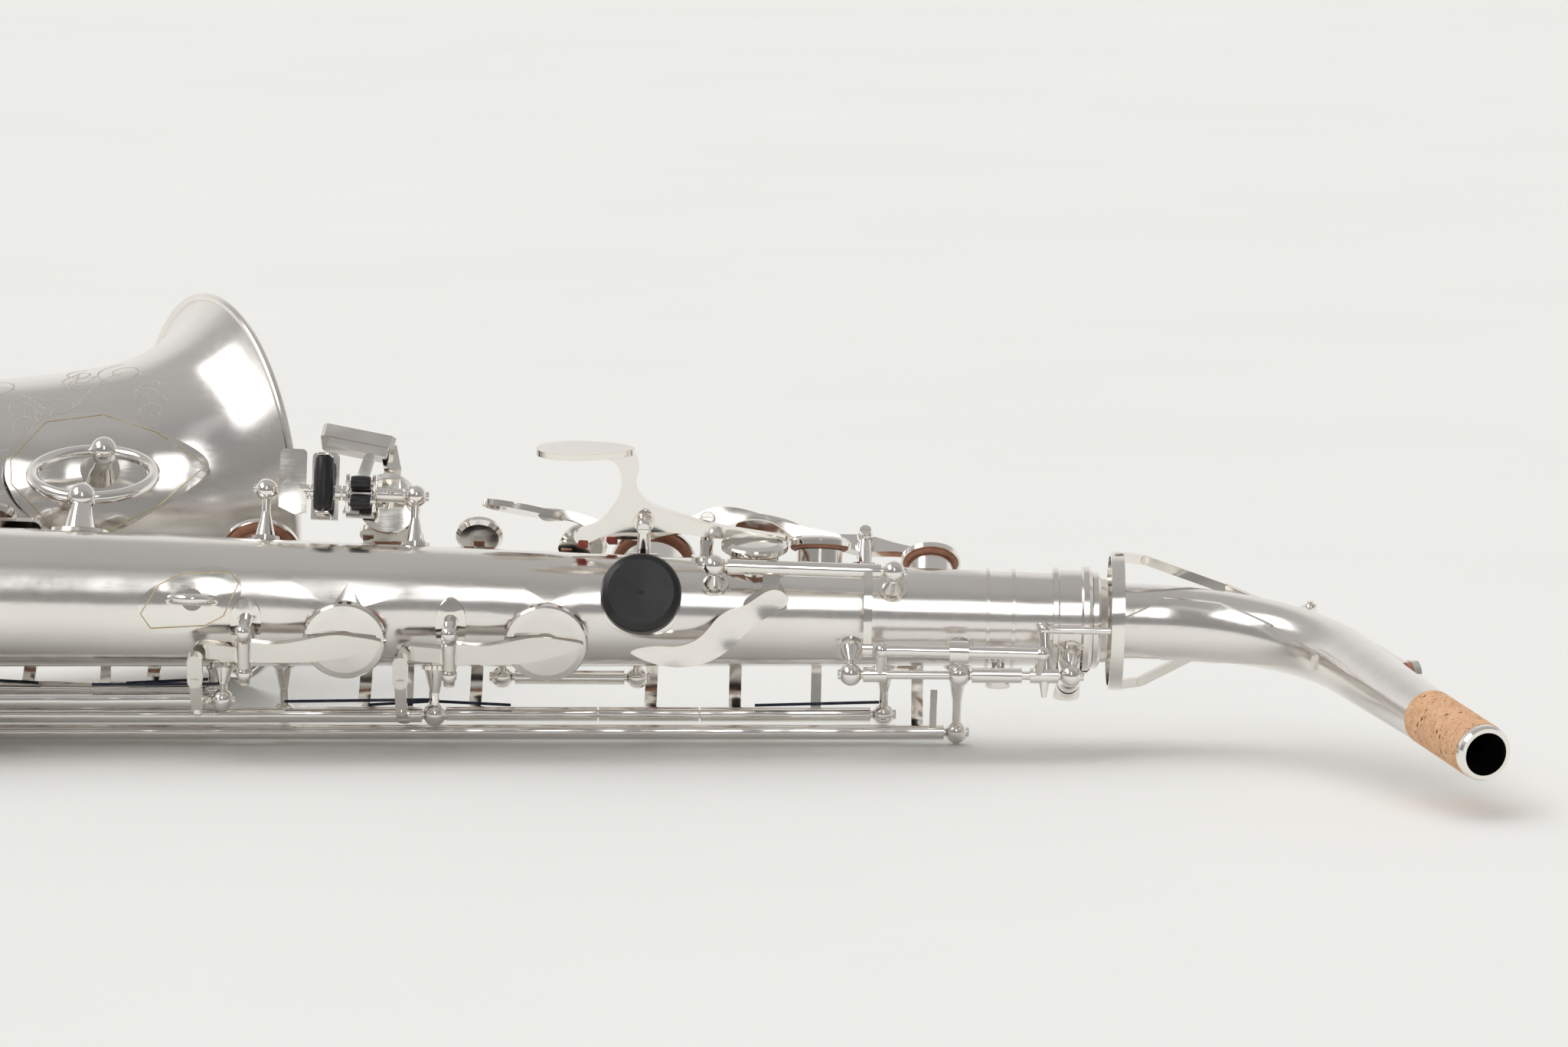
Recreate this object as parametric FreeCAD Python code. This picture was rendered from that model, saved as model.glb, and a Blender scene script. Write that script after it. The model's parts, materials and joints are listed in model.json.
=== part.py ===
import FreeCAD, Part
import math
import os

# Alto saxophone lying on its right-hand side keywork, neck towards +X.
# It is built in a horn frame: the body tube's axis is X, x = 0 is the receiver's top face and the body
# runs to -X. Angles about a tube start at the player's side (-Y) and turn up (+Z): 90 is the left-hand
# side, 180 the front, -90 the right-hand side that lies on the table. Heights are above the tube's wall.
# The last step tips the horn so that its posts, bell rim and low guard rest on z = 0.

V = FreeCAD.Vector

# ---- driving dimensions, mm ----
TOP_RADIUS = 13.35        # body tube, outside, at the receiver
TAPER = 0.022             # growth of the radius per millimetre of tube
WALL = 0.7                # sheet thickness of tube, bow and bell
BODY_LENGTH = 470.0
BOW_RADIUS = 38.3         # centreline of the bow
BOW_END_RADIUS = 33.5     # outside radius where the bow meets the bell
BELL_LEAN = 10.0          # tilt of the bell away from the body, at its foot
RIM_LEAN = 28.0           # tilt of the bell's rim
BELL_LENGTH = 218.0       # along the bell's curved centreline
RIM_RADIUS = 59.5
BELL_GROWTH = 7.0         # of the bell's radius before its flare
RIM_BEAD = 1.3
CHIMNEY = 3.6             # drawn tone holes above the tube
CUP_HEIGHT = 3.4
PAD_STAND = 1.1           # cup's edge above the tone hole when the key is shut
OPEN_GAP = 5.5            # more, when a stack key stands open
ROD_RADIUS = 1.25
TUBE_RADIUS = 2.2         # hinge tubes
RUNNING = 0.05            # radial clearance of a hinge tube on its rod
SIDE_PLAY = 0.35          # between a hinge tube's end and the next part
BALL_RADIUS = 3.3
PIVOT_BALL = 2.4
SIDE_ROD_HEIGHT = 20.8    # high E hinge, the lowest rod when the horn lies down
SIDE_ROD_ANGLE = -97.0
NECK_ANGLE = -8.0         # side to which the neck bends
NECK_STRAIGHT = 18.0
NECK_BEND = 58.0
NECK_TURN = 70.0
NECK_REACH = 92.0         # straight end of the neck after the bend
CORK_LENGTH = 34.0
CORK_RADIUS = 8.0
TIP_RADIUS = 7.2
TIP_BORE = 6.15
TENON_RADIUS = 12.0
TENON_BORE = 10.4


# ---- small solids ----
def rod(start, end, radius):
    way = end - start
    return Part.makeCylinder(radius, way.Length, start, way)


def pipe(start, end, outer, inner):
    return rod(start, end, outer).cut(rod(start, end, inner))


def taper(start, end, first, last):
    way = end - start
    return Part.makeCone(first, last, way.Length, start, way)


def ball(centre, radius=BALL_RADIUS):
    return Part.makeSphere(radius, centre)


def join(*solids):
    whole = solids[0]
    if len(solids) > 1:
        whole = whole.fuse(list(solids[1:]))
    return whole.removeSplitter()


def chain(points, radius):
    """A round wire through the points, with ball-shaped corners."""
    pieces = [rod(a, b, radius) for a, b in zip(points, points[1:])]
    pieces += [ball(point, radius) for point in points]
    return join(*pieces)


def plate(origin, along, across, outline, thickness, smooth=True):
    """A flat plate: its outline is given along and across, and its thickness is centred."""
    normal = along.cross(across).normalize()
    start = origin - normal * (thickness / 2)
    points = [start + along * u + across * v for u, v in outline]
    if smooth:
        curve = Part.BSplineCurve()
        curve.interpolate(points, PeriodicFlag=True)
        wire = Part.Wire([curve.toShape()])
    else:
        wire = Part.makePolygon(points + [points[0]])
    return Part.Face(wire).extrude(normal * thickness)


def bar(start, end, wide, thickness, side):
    """A flat bar with round ends; side is the direction of its width."""
    along = (end - start).normalize()
    across = (side - along * side.dot(along)).normalize()
    normal = along.cross(across)
    length = (end - start).Length
    half = wide / 2
    low = start - normal * (thickness / 2)

    def spot(u, v):
        return low + along * u + across * v

    edges = [
        Part.LineSegment(spot(0, -half), spot(length, -half)).toShape(),
        Part.Arc(spot(length, -half), spot(length + half, 0), spot(length, half)).toShape(),
        Part.LineSegment(spot(length, half), spot(0, half)).toShape(),
        Part.Arc(spot(0, half), spot(-half, 0), spot(0, -half)).toShape(),
    ]
    return Part.Face(Part.Wire(edges)).extrude(normal * thickness)


def turned(profile, centre, axis):
    """A profile of (radius, height) turned about an axis through a centre."""
    points = [V(r, 0, z) for r, z in profile]
    face = Part.Face(Part.makePolygon(points + [points[0]]))
    solid = face.revolve(V(0, 0, 0), V(0, 0, 1), 360)
    solid.Placement = FreeCAD.Placement(centre, FreeCAD.Rotation(V(0, 0, 1), axis))
    return solid


class Tube:
    """A conical tube that keys and posts stand on."""

    def __init__(self, origin, along, zero, radius, growth):
        self.origin = origin
        self.along = along.normalize()
        self.zero = (zero - self.along * zero.dot(self.along)).normalize()
        self.quarter = self.zero.cross(self.along).normalize()
        self.radius = radius
        self.growth = growth

    def wall(self, x):
        return self.radius - self.growth * x

    def out(self, angle):
        turn = math.radians(angle)
        return self.zero * math.cos(turn) + self.quarter * math.sin(turn)

    def round_about(self, angle):
        return self.out(angle + 90)

    def at(self, x, angle, height):
        return self.origin + self.along * x + self.out(angle) * (self.wall(x) + height)

    def solid(self, first, last, extra=0.0):
        start = self.origin + self.along * first
        end = self.origin + self.along * last
        return taper(start, end, self.wall(first) + extra, self.wall(last) + extra)


BODY = Tube(V(0, 0, 0), V(1, 0, 0), V(0, -1, 0), TOP_RADIUS, TAPER)
BODY_CORE = BODY.solid(-BODY_LENGTH, 40)


# ---- where the bell stands ----
def floor_height(x):
    """Height of the body's axis above the table, measured across the tube."""
    reach = BODY.wall(x) + SIDE_ROD_HEIGHT
    return reach * abs(math.sin(math.radians(SIDE_ROD_ANGLE))) + BALL_RADIUS


TIP_ANGLE = math.atan((floor_height(-400) - floor_height(-100)) / 300)


def bell_shares():
    """Where the bell's stations are, as shares of its length, closer together towards the flare."""
    steps = 20
    return [1 - (1 - index / steps) ** 1.6 for index in range(steps + 1)]


def bell_path():
    """Positions, in the plane of body and bell, of the bell's curved centreline."""
    lean = math.radians(BELL_LEAN)
    more = math.radians(RIM_LEAN - BELL_LEAN)
    x = -BODY_LENGTH - BOW_RADIUS * math.sin(lean)
    s = BOW_RADIUS * (1 + math.cos(lean))
    path = [(x, s, lean)]
    shares = bell_shares()
    for before, after in zip(shares, shares[1:]):
        angle = lean + more * ((before + after) / 2) ** 3
        x += (after - before) * BELL_LENGTH * math.cos(angle)
        s += (after - before) * BELL_LENGTH * math.sin(angle)
        path.append((x, s, lean + more * after ** 3))
    return path


RIM_X, RIM_S, RIM_TILT = bell_path()[-1]
RIM_DROP = RIM_RADIUS + RIM_BEAD
BELL_RISE = math.asin((RIM_DROP * 0.9994 - floor_height(RIM_X)) / RIM_S)
ASIDE = V(0, math.cos(BELL_RISE), math.sin(BELL_RISE))


def beside(x, s):
    return V(x, 0, 0) + ASIDE * s


def circle(centre, normal, radius):
    return Part.Wire([Part.Circle(centre, normal, radius).toShape()])


def horn_shell(stations):
    """A thin tube through (centre, direction, outside radius) stations, open at both ends."""
    outer = Part.makeLoft([circle(c, d, r) for c, d, r in stations], True, False)
    first, last = stations[0], stations[-1]
    inner = [(first[0] - first[1] * 0.6, first[1], first[2])]
    inner += list(stations)
    inner += [(last[0] + last[1] * 0.6, last[1], last[2])]
    core = Part.makeLoft([circle(c, d, r - WALL) for c, d, r in inner], True, False)
    return outer.cut(core)


# ---- tone holes: name, x, angle, cup radius ----
STACK_ANGLE = -183.0
HOLES = {
    "key_c": (-104.0, -170.0, 9.5),
    "key_b": (-129.0, -214.0, 13.0),
    "key_bis": (-155.0, -180.0, 9.0),
    "key_a": (-181.0, STACK_ANGLE, 13.3),
    "key_g": (-214.0, STACK_ANGLE, 14.3),
    "gsharp_cup": (-245.0, -212.0, 11.5),
    "key_fsharp": (-277.0, STACK_ANGLE, 15.0),
    "key_f": (-314.0, STACK_ANGLE, 16.3),
    "key_e": (-354.0, STACK_ANGLE, 16.8),
    "key_d": (-397.0, STACK_ANGLE, 17.3),
    "low_eb": (-440.0, -62.0, 16.5),
    "palm_d": (-99.0, 78.0, 9.8),
    "palm_eb": (-80.0, 104.0, 9.2),
    "palm_f": (-47.0, 132.0, 8.8),
    "high_e": (-54.0, -150.0, 9.0),
    "side_c_cup": (-159.0, -18.0, 12.2),
    "side_bb_cup": (-217.5, -18.0, 12.1),
}
HOLE_SHARE = 0.74         # tone hole's outside radius as a share of its cup


def chimney(tube, x, angle, radius):
    foot = tube.at(x, angle, -tube.wall(x) * 0.5)
    top = tube.at(x, angle, CHIMNEY)
    return rod(foot, top, radius)


def tone_holes(tube, holes):
    outer = []
    inner = []
    for x, angle, radius in holes:
        outer.append(chimney(tube, x, angle, radius * HOLE_SHARE))
        base = tube.at(x, angle, -tube.wall(x) * 0.6)
        top = tube.at(x, angle, CHIMNEY + 1)
        inner.append(rod(base, top, radius * HOLE_SHARE - WALL))
    return outer, inner


def body_tube():
    outer, inner = tone_holes(BODY, HOLES.values())
    pip = body_pip_hole()
    whole = BODY.solid(-BODY_LENGTH, 0).fuse(outer)
    bore = BODY.solid(-BODY_LENGTH - 1, 1, -WALL)
    socket = rod(V(-26, 0, 0), V(1, 0, 0), TENON_RADIUS + RUNNING)
    beads = [turned([(13.0 - x * TAPER, -0.5), (14.2 - x * TAPER, -0.5), (14.2 - x * TAPER, 0.5),
                     (13.0 - x * TAPER, 0.5)], V(x, 0, 0), V(1, 0, 0)) for x in (-30.5, -23.0)]
    whole = whole.fuse(beads)
    return whole.cut([bore, socket, pip] + inner)


def body_pip_hole():
    return rod(BODY.at(-27, -66, -4), BODY.at(-27, -66, 4), 1.9)


def octave_pip():
    """The small tube under the body octave key."""
    start = BODY.at(-27, -66, -1.6)
    end = BODY.at(-27, -66, 3.2)
    return pipe(start, end, 1.88, 0.9)


def neck_receiver():
    """Collar with its beads and the slotted clamp lugs."""
    inner = BODY.wall(-5) + 0.02
    profile = [(inner + 0.2, -11.5), (15.4, -11.5), (15.4, -10.0), (14.7, -9.6), (14.7, -3.2), (15.9, -2.6),
               (15.9, -1.0), (14.9, 0.0), (inner - 0.2, 0.0)]
    collar = turned(profile, V(0, 0, 0), V(1, 0, 0))
    collar = collar.cut(BODY.solid(-13, 1, 0.0))
    lugs = bar(BODY.at(-6.5, -62, 0.3), BODY.at(-6.5, -62, 6.2), 6.4, 7.6, V(1, 0, 0))
    lugs = lugs.cut(BODY.solid(-13, 1, 0.05))
    slot = bar(BODY.at(-6.5, -62, -1), BODY.at(-6.5, -62, 14), 12.5, 1.2, V(1, 0, 0))
    hole = rod(screw_point(-9), screw_point(9), 1.55)
    return join(collar, lugs).cut(slot).cut(hole)


def screw_point(along):
    return BODY.at(-6.5, -62, 4.8) + BODY.round_about(-62) * along


def neck_screw():
    """Clamp screw with a lyre-holder style thumb head."""
    shank = rod(screw_point(-6.2), screw_point(6), 1.5)
    collar = rod(screw_point(-6.6), screw_point(-4.4), 2.6)
    head = bar(screw_point(-7.4), screw_point(-13.0), 7.6, 2.0, V(1, 0, 0))
    return join(shank, collar, head)


def bow_stations():
    stations = []
    steps = 12
    lean = math.radians(BELL_LEAN)
    sweep = math.pi - lean
    first = BODY.wall(-BODY_LENGTH)
    for index in range(steps + 1):
        share = index / steps
        turn = sweep * share
        x = -BODY_LENGTH - BOW_RADIUS * math.sin(turn)
        s = BOW_RADIUS * (1 - math.cos(turn))
        way = V(-math.cos(turn), 0, 0) + ASIDE * math.sin(turn)
        stations.append((beside(x, s), way, first + (BOW_END_RADIUS - first) * share))
    return stations


def bell_radius(share):
    """Outside radius along the bell: a slow cone, then the flare."""
    cone = BOW_END_RADIUS + BELL_GROWTH * share
    return cone + (RIM_RADIUS - BOW_END_RADIUS - BELL_GROWTH) * share ** 16


def bell_stations():
    stations = []
    for share, (x, s, lean) in zip(bell_shares(), bell_path()):
        way = V(math.cos(lean), 0, 0) + ASIDE * math.sin(lean)
        stations.append((beside(x, s), way, bell_radius(share)))
    return stations


def bell_tube():
    """The straight lower part of the bell, as a tube for its posts and keys."""
    first = bell_stations()[0]
    return Tube(first[0], first[1], V(0, -1, 0), BOW_END_RADIUS, -BELL_GROWTH / BELL_LENGTH)


BELL = bell_tube()
BELL_HOLES = {
    "low_b_cup": (52.0, -92.0, 19.0),
    "low_bb_cup": (101.0, -92.0, 19.5),
    "csharp_cup": (32.0, 58.0, 15.0),
}
GUARDED_BELL_HOLES = ("low_b_cup", "low_bb_cup")


def bell():
    shell = horn_shell(bell_stations())
    centre, way, radius = bell_stations()[-1]
    turns = [math.radians(30 * index) for index in range(12)]
    round_edge = [(RIM_RADIUS + RIM_BEAD * math.cos(turn), RIM_BEAD * math.sin(turn)) for turn in turns]
    bead = turned(round_edge, centre, way)
    outer, inner = tone_holes(BELL, BELL_HOLES.values())
    core = Part.makeLoft([circle(c, d, r - WALL) for c, d, r in bell_stations()], True, False)
    outer = [solid.cut(core) for solid in outer]
    whole = shell.fuse(outer + [bead])
    return whole.cut(inner)


def bow():
    shell = horn_shell(bow_stations())
    centre, way, radius = bow_hole()
    core = rod(centre, centre + way * (radius + CHIMNEY), 14.0)
    inside = Part.makeLoft([circle(c, d, r - WALL) for c, d, r in bow_stations()], True, False)
    whole = shell.fuse(core.cut(inside))
    return whole.cut(rod(centre, centre + way * (radius + CHIMNEY + 1), 14.0 - WALL))


def bow_hole():
    """Centre, outward direction and radius at the low C tone hole, on the bow's underside."""
    centre, way, radius = bow_stations()[4]
    down = V(0, 0, -1)
    down = (down - way * down.dot(way)).normalize()
    return centre, down, radius


def ferrules():
    """The two rings that join body to bow and bow to bell."""
    rings = []
    for (centre, way, radius), back in ((bow_stations()[0], 1), (bow_stations()[-1], -1)):
        profile = [(radius - 2.0, -5), (radius + 1.4, -5), (radius + 2.2, -3.4), (radius + 1.5, -2),
                   (radius + 1.5, 2), (radius + 2.2, 3.4), (radius + 1.4, 5), (radius - 2.0, 5)]
        rings.append(turned(profile, centre, way))
    ring_a = rings[0].cut(BODY.solid(-BODY_LENGTH, 0)).cut(solid_bow())
    ring_b = rings[1].cut(solid_bow()).cut(solid_bell())
    return Part.Compound([ring_a.Solids[0], ring_b.Solids[0]])


def solid_bow():
    stations = bow_stations()
    return Part.makeLoft([circle(c, d, r) for c, d, r in stations], True, False)


def solid_bell():
    return Part.makeLoft([circle(c, d, r) for c, d, r in bell_stations()], True, False)


# ---- fittings on the tubes ----
def saddle(tube, x, angle, outline, thickness):
    """A thin foot plate bent to the tube's wall."""
    start = tube.at(x, angle, -6)
    flat = plate(start, tube.along, tube.round_about(angle), outline, 0.1)
    for face in flat.Faces:
        if abs(face.normalAt(0, 0).dot(tube.out(angle))) > 0.99:
            prism = face.extrude(tube.out(angle) * 14)
            break
    shell = tube.solid(x - 45, x + 45, thickness).cut(tube.solid(x - 46, x + 46))
    return prism.common(shell)


def post(tube, x, angle, height, radius=BALL_RADIUS, foot=4.3):
    """A turned post: round foot, tapering stem and ball head."""
    low = tube.at(x, angle, -1.5)
    flange = tube.at(x, angle, 0.9)
    top = tube.at(x, angle, height)
    waist = tube.at(x, angle, height * 0.55)
    solid = join(rod(low, flange, foot), taper(flange, waist, foot * 0.72, 1.35), rod(waist, top, 1.35),
                 ball(top, radius))
    return solid


LINES = {
    "side_high_e": (SIDE_ROD_ANGLE, SIDE_ROD_HEIGHT, (-38.5, -396.0)),
    "side_c": (-88.0, 14.5, (-192.0, -386.0)),
    "side_bb": (-75.0, 10.0, (-254.0, -376.0)),
    "upper_stack": (-109.0, 18.0, (-60.0, -193.0, -237.0)),
    "bis": (-126.0, 11.3, (-133.0, -173.0)),
    "lower_stack": (-120.0, 14.0, (-258.5, -335.0, -419.0)),
    "gsharp": (-181.0, 9.5, (-232.0, -258.0)),
    "table": (108.0, 15.0, (-199.0, -243.0)),
    "octave": (-33.0, 11.3, (-70.3, -38.7, -6.3)),
    "thumb": (41.0, 8.9, (-110.6, -58.4)),
    "low_eb": (-112.0, 9.0, (-424.5, -460.0)),
}


def line(name, x):
    angle, height, stops = LINES[name]
    return BODY.at(x, angle, height)


def line_rod(name):
    angle, height, stops = LINES[name]
    return rod(line(name, stops[0] + 2.6), line(name, stops[-1] - 2.6), ROD_RADIUS)


def line_posts(name):
    angle, height, stops = LINES[name]
    return [post(BODY, x, angle, height) for x in stops]


def hinge_tube(name, first, last):
    """A key's hinge tube on one of the rod lines."""
    return pipe(line(name, first), line(name, last), TUBE_RADIUS, ROD_RADIUS + RUNNING)


BELL_LINES = {
    "bell": (-136.0, 9.5, (27.0, 76.5, 127.0)),
    "csharp": (92.0, 9.5, (11.0, 53.0)),
}


def bell_line(name, x):
    angle, height, stops = BELL_LINES[name]
    return BELL.at(x, angle, height)


def bell_rod(name):
    stops = BELL_LINES[name][2]
    return rod(bell_line(name, stops[0] - 2.6), bell_line(name, stops[-1] + 2.6), ROD_RADIUS)


# pivots across the tube: name: (x, angle, height, half length)
PIVOTS = {
    "side_c_cup": (-187.0, -24.0, 9.0, 7.0),
    "side_bb_cup": (-246.5, -24.0, 9.0, 7.0),
    "palm_d": (-131.5, 80.0, 11.5, 5.4),
    "palm_eb": (-113.0, 105.0, 11.0, 5.2),
    "palm_f": (-66.5, 134.0, 10.5, 5.0),
}


def pivot(name, along):
    x, angle, height, half = PIVOTS[name]
    return BODY.at(x, angle, height) + BODY.round_about(angle) * along


def pivot_rod(name):
    half = PIVOTS[name][3]
    return rod(pivot(name, -half - 2.4), pivot(name, half + 2.4), 1.0)


def pivot_posts(name):
    """Two ball posts that carry a cross pivot."""
    x, angle, height, half = PIVOTS[name]
    posts = []
    for along in (-half, half):
        top = pivot(name, along)
        foot = BODY.at(x, angle, -1.5) + BODY.round_about(angle) * along * 0.8
        middle = foot + (top - foot) * 0.5
        posts.append(join(rod(foot, middle, 2.0), taper(middle, top, 2.0, 1.35), ball(top, PIVOT_BALL)))
    plate_shape = [(-3.6, -half - 2), (0, -half - 4.5), (3.6, -half - 2), (4.2, 0), (3.6, half + 2),
                   (0, half + 4.5), (-3.6, half + 2), (-4.2, 0)]
    base = saddle(BODY, x, angle, plate_shape, 0.9)
    return join(base, *posts)


def pivot_barrel(name, radius=2.3):
    half = PIVOTS[name][3]
    reach = half - PIVOT_BALL - 0.25
    return pipe(pivot(name, -reach), pivot(name, reach), radius, 1.0 + RUNNING)


UPPER_LINES = ("upper_stack", "bis", "octave", "thumb", "side_high_e", "side_c")
LOWER_LINES = ("side_bb", "lower_stack", "gsharp", "table", "low_eb")


def all_rods():
    rods = [line_rod(name) for name in LINES]
    rods += [pivot_rod(name) for name in PIVOTS]
    rods += [bell_rod(name) for name in BELL_LINES]
    rods.append(bow_rod())
    return rods


LOW_C_RADIUS = 18.0
LOW_GAP = 4.5             # low keys stand open by this much
BOW_POST_REACH = 16.0


def bow_rod():
    return rod(bow_line(-BOW_POST_REACH - 2.4), bow_line(BOW_POST_REACH + 2.4), ROD_RADIUS)


def bow_line(along):
    """Hinge of the low C key, across the bow below its tone hole."""
    centre, down, radius = bow_hole()
    way = bow_stations()[4][1]
    side = way.cross(down)
    base = centre + down * (radius - 3.5) - side * 27.0
    return base + way * along


def bow_posts():
    centre, down, radius = bow_hole()
    way = bow_stations()[4][1]
    side = way.cross(down)
    posts = []
    for along in (-BOW_POST_REACH, BOW_POST_REACH):
        top = bow_line(along)
        foot = top + side * 4 - down * 12
        posts.append(join(taper(foot, top, 3.0, 1.6), ball(top)))
    return posts


def fit_posts(posts, rods, cores):
    """Posts stand on the tubes and are bored for the rods."""
    done = []
    for solid in posts:
        for core in cores:
            solid = solid.cut(core)
        near = [item for item in rods if item.BoundBox.intersect(solid.BoundBox)]
        if near:
            solid = solid.cut(near)
        done += sorted(solid.Solids, key=lambda item: -item.Volume)[:1]
    return Part.Compound(done)


def upper_posts():
    posts = []
    for name in UPPER_LINES:
        posts += line_posts(name)
    posts += [pivot_posts(name) for name in PIVOTS]
    return fit_posts(posts, all_rods(), [BODY_CORE])


def lower_posts():
    posts = []
    for name in LOWER_LINES:
        posts += line_posts(name)
    return fit_posts(posts, all_rods(), [BODY_CORE])


def bell_posts():
    posts = bow_posts()
    for angle, height, stops in BELL_LINES.values():
        posts += [post(BELL, x, angle, height) for x in stops]
    return fit_posts(posts, all_rods(), [solid_bell(), solid_bow()])


def hinge_rods():
    rods = [line_rod(name) for name in LINES] + [bow_rod()]
    rods += [bell_rod(name) for name in BELL_LINES]
    return Part.Compound(rods)


def pivot_screws():
    """Cross pivots with slotted heads."""
    screws = []
    for name in PIVOTS:
        half = PIVOTS[name][3]
        head = rod(pivot(name, -half - 2.4), pivot(name, -half - 3.2), 1.7)
        slot = plate(pivot(name, -half - 3.2), V(1, 0, 0), BODY.out(PIVOTS[name][1]),
                     [(-2, -0.25), (2, -0.25), (2, 0.25), (-2, 0.25)], 0.7, False)
        screws.append(join(pivot_rod(name), head).cut(slot))
    return Part.Compound(screws)


def needle_springs():
    """Blued steel wires from a post to each long key."""
    spans = (("upper_stack", -60, -98), ("upper_stack", -193, -170), ("upper_stack", -193, -212),
             ("lower_stack", -258.5, -284), ("lower_stack", -335, -310), ("lower_stack", -335, -372),
             ("side_bb", -254, -292), ("side_c", -192, -236), ("side_high_e", -396, -352))
    wires = []
    for name, first, last in spans:
        angle, height, stops = LINES[name]
        drop = height - 4.6
        step = 4.5 if last > first else -4.5
        start = BODY.at(first + step * 0.3, angle + 2, drop)
        end = BODY.at(last, angle + 5, drop + 0.4)
        wires.append(rod(start, end, 0.45))
    return Part.Compound(wires)


def strap_ring():
    """Ring for the neck strap, on a plate shaped like a slanted pad."""
    outline = [(-15.5, -4.5), (-12.5, -8.8), (4.0, -7.6), (9.5, -4.5), (13.8, 5.5), (11.0, 8.6), (-3.0, 8.0),
               (-10.0, 4.5)]
    base = saddle(BODY, -262, 9, outline, 1.1)
    ring = Part.makeTorus(6.2, 1.55, BODY.at(-262, 9, 2.6), BODY.round_about(9))
    boss = rod(BODY.at(-262, 9, 0.2), BODY.at(-262, 9, 1.5), 3.2)
    return join(base, ring, boss).cut(BODY_CORE)


def thumb_rest_plate():
    outline = [(-9, -8), (0, -10.5), (9, -8), (11, 0), (9, 8), (0, 10.5), (-9, 8), (-11, 0)]
    base = saddle(BODY, -131.7, 21, outline, 1.0)
    stem = rod(BODY.at(-131.7, 21, 0), BODY.at(-131.7, 21, 5.5), 3.0)
    return join(base, stem).cut(BODY_CORE)


def thumb_rest_button():
    profile = [(3.02, 0), (3.02, 3.0), (0.0, 3.0), (0.0, 6.9), (9.6, 6.6), (11.2, 5.8), (11.75, 4.6), (11.75, 1.2),
               (11.0, 0.0)]
    return turned(profile, BODY.at(-131.7, 21, 2.5), BODY.out(21))


def thumb_hook():
    """Curved hook for the right thumb, on a saddle with a slide."""
    outline = [(-16, -5), (-12, -7.5), (12, -7.5), (16, -5), (16, 5), (12, 7.5), (-12, 7.5), (-16, 5)]
    base = saddle(BODY, -352, 6, outline, 1.4)
    block = bar(BODY.at(-361, 6, 2.4), BODY.at(-343, 6, 2.4), 9.0, 3.0, BODY.round_about(6))
    side = BODY.round_about(6)
    start = BODY.at(-352, 6, 15.0) - side * 8.5
    outer = Part.makeCylinder(12.6, 17, start, side)
    inner = Part.makeCylinder(10.0, 19, start - side, side)
    gap = plate(start + side * 8.5, BODY.along, BODY.out(6), [(0, 0), (30, 0), (30, 30), (-30, 30), (-30, -9)], 30,
                False)
    hook = outer.cut(inner).cut(gap)
    return join(base.fuse(block), hook).cut(thumb_screw()).cut(BODY_CORE)


def thumb_screw():
    """Slotted screw that clamps the hook."""
    foot = BODY.at(-361, 6, 1.6)
    neck = BODY.at(-361, 6, 3.4)
    top = BODY.at(-361, 6, 6.6)
    return join(rod(foot, neck, 1.6), rod(neck, top, 3.4))


def thumb_hook_screw():
    slot = bar(BODY.at(-365, 6, 6.5), BODY.at(-357, 6, 6.5), 0.8, 1.0, BODY.round_about(6))
    return thumb_screw().cut(slot)


BRACE_X = -298.0


def brace_near():
    return BODY.at(BRACE_X, 121, 12.5)


def brace_far():
    """Centre of the ball on the bell's side of the brace ring."""
    return brace_near() + ASIDE * 35.0 + V(3, 0, 5.0)


def bell_brace():
    """Ring between body and bell, with a ball and a foot on each."""
    near = brace_near()
    far = brace_far()
    middle = (near + far) * 0.5
    way = (far - near).normalize()
    tilt = (V(1, 0, 0) - way * way.x).normalize()
    normal = way.cross(tilt).normalize()
    ring = Part.makeTorus((far - near).Length / 2, 1.9, middle, normal)
    leg = BODY.at(BRACE_X, 121, 1.0)
    foot = saddle(BODY, BRACE_X, 121, [(-9, 0), (-6, -6), (0, -8), (6, -6), (9, 0), (6, 6), (0, 8), (-6, 6)], 1.2)
    bell_foot = BELL.at(brace_along(), brace_angle(), 0.8)
    leaf = [(-34, -4), (-22, -17), (-4, -19), (12, -12), (27, 0), (12, 12), (-4, 19), (-22, 17), (-34, 4)]
    leaf_plate = saddle(BELL, brace_along() + 6, brace_angle(), leaf, 0.9)
    body_side = join(ring, ball(near, 4.4), ball(far, 4.4), taper(leg, near, 5.0, 2.6), foot)
    bell_side = join(taper(bell_foot, far, 6.0, 2.6), leaf_plate)
    return join(body_side, bell_side).cut(BODY_CORE).cut(solid_bell())


def brace_along():
    return (brace_far() - BELL.origin).dot(BELL.along)


def brace_angle():
    way = brace_far() - BELL.origin
    return math.degrees(math.atan2(way.dot(BELL.quarter), way.dot(BELL.zero)))


# ---- guards ----
GUARD_HEIGHT = 17.4


def bow_tube():
    """The bow near its tone hole, as a short straight tube; angle 0 is down."""
    centre, down, radius = bow_hole()
    return Tube(centre, bow_stations()[4][1], down, radius, 0)


def low_guards():
    """Wire-edged plates over the low E flat and low C cups, on three legs each."""
    x, angle, radius = HOLES["low_eb"]
    return [cup_guard(BODY, x, angle, radius), cup_guard(bow_tube(), 0, 0, LOW_C_RADIUS, (0, 180, 270))]


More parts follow.
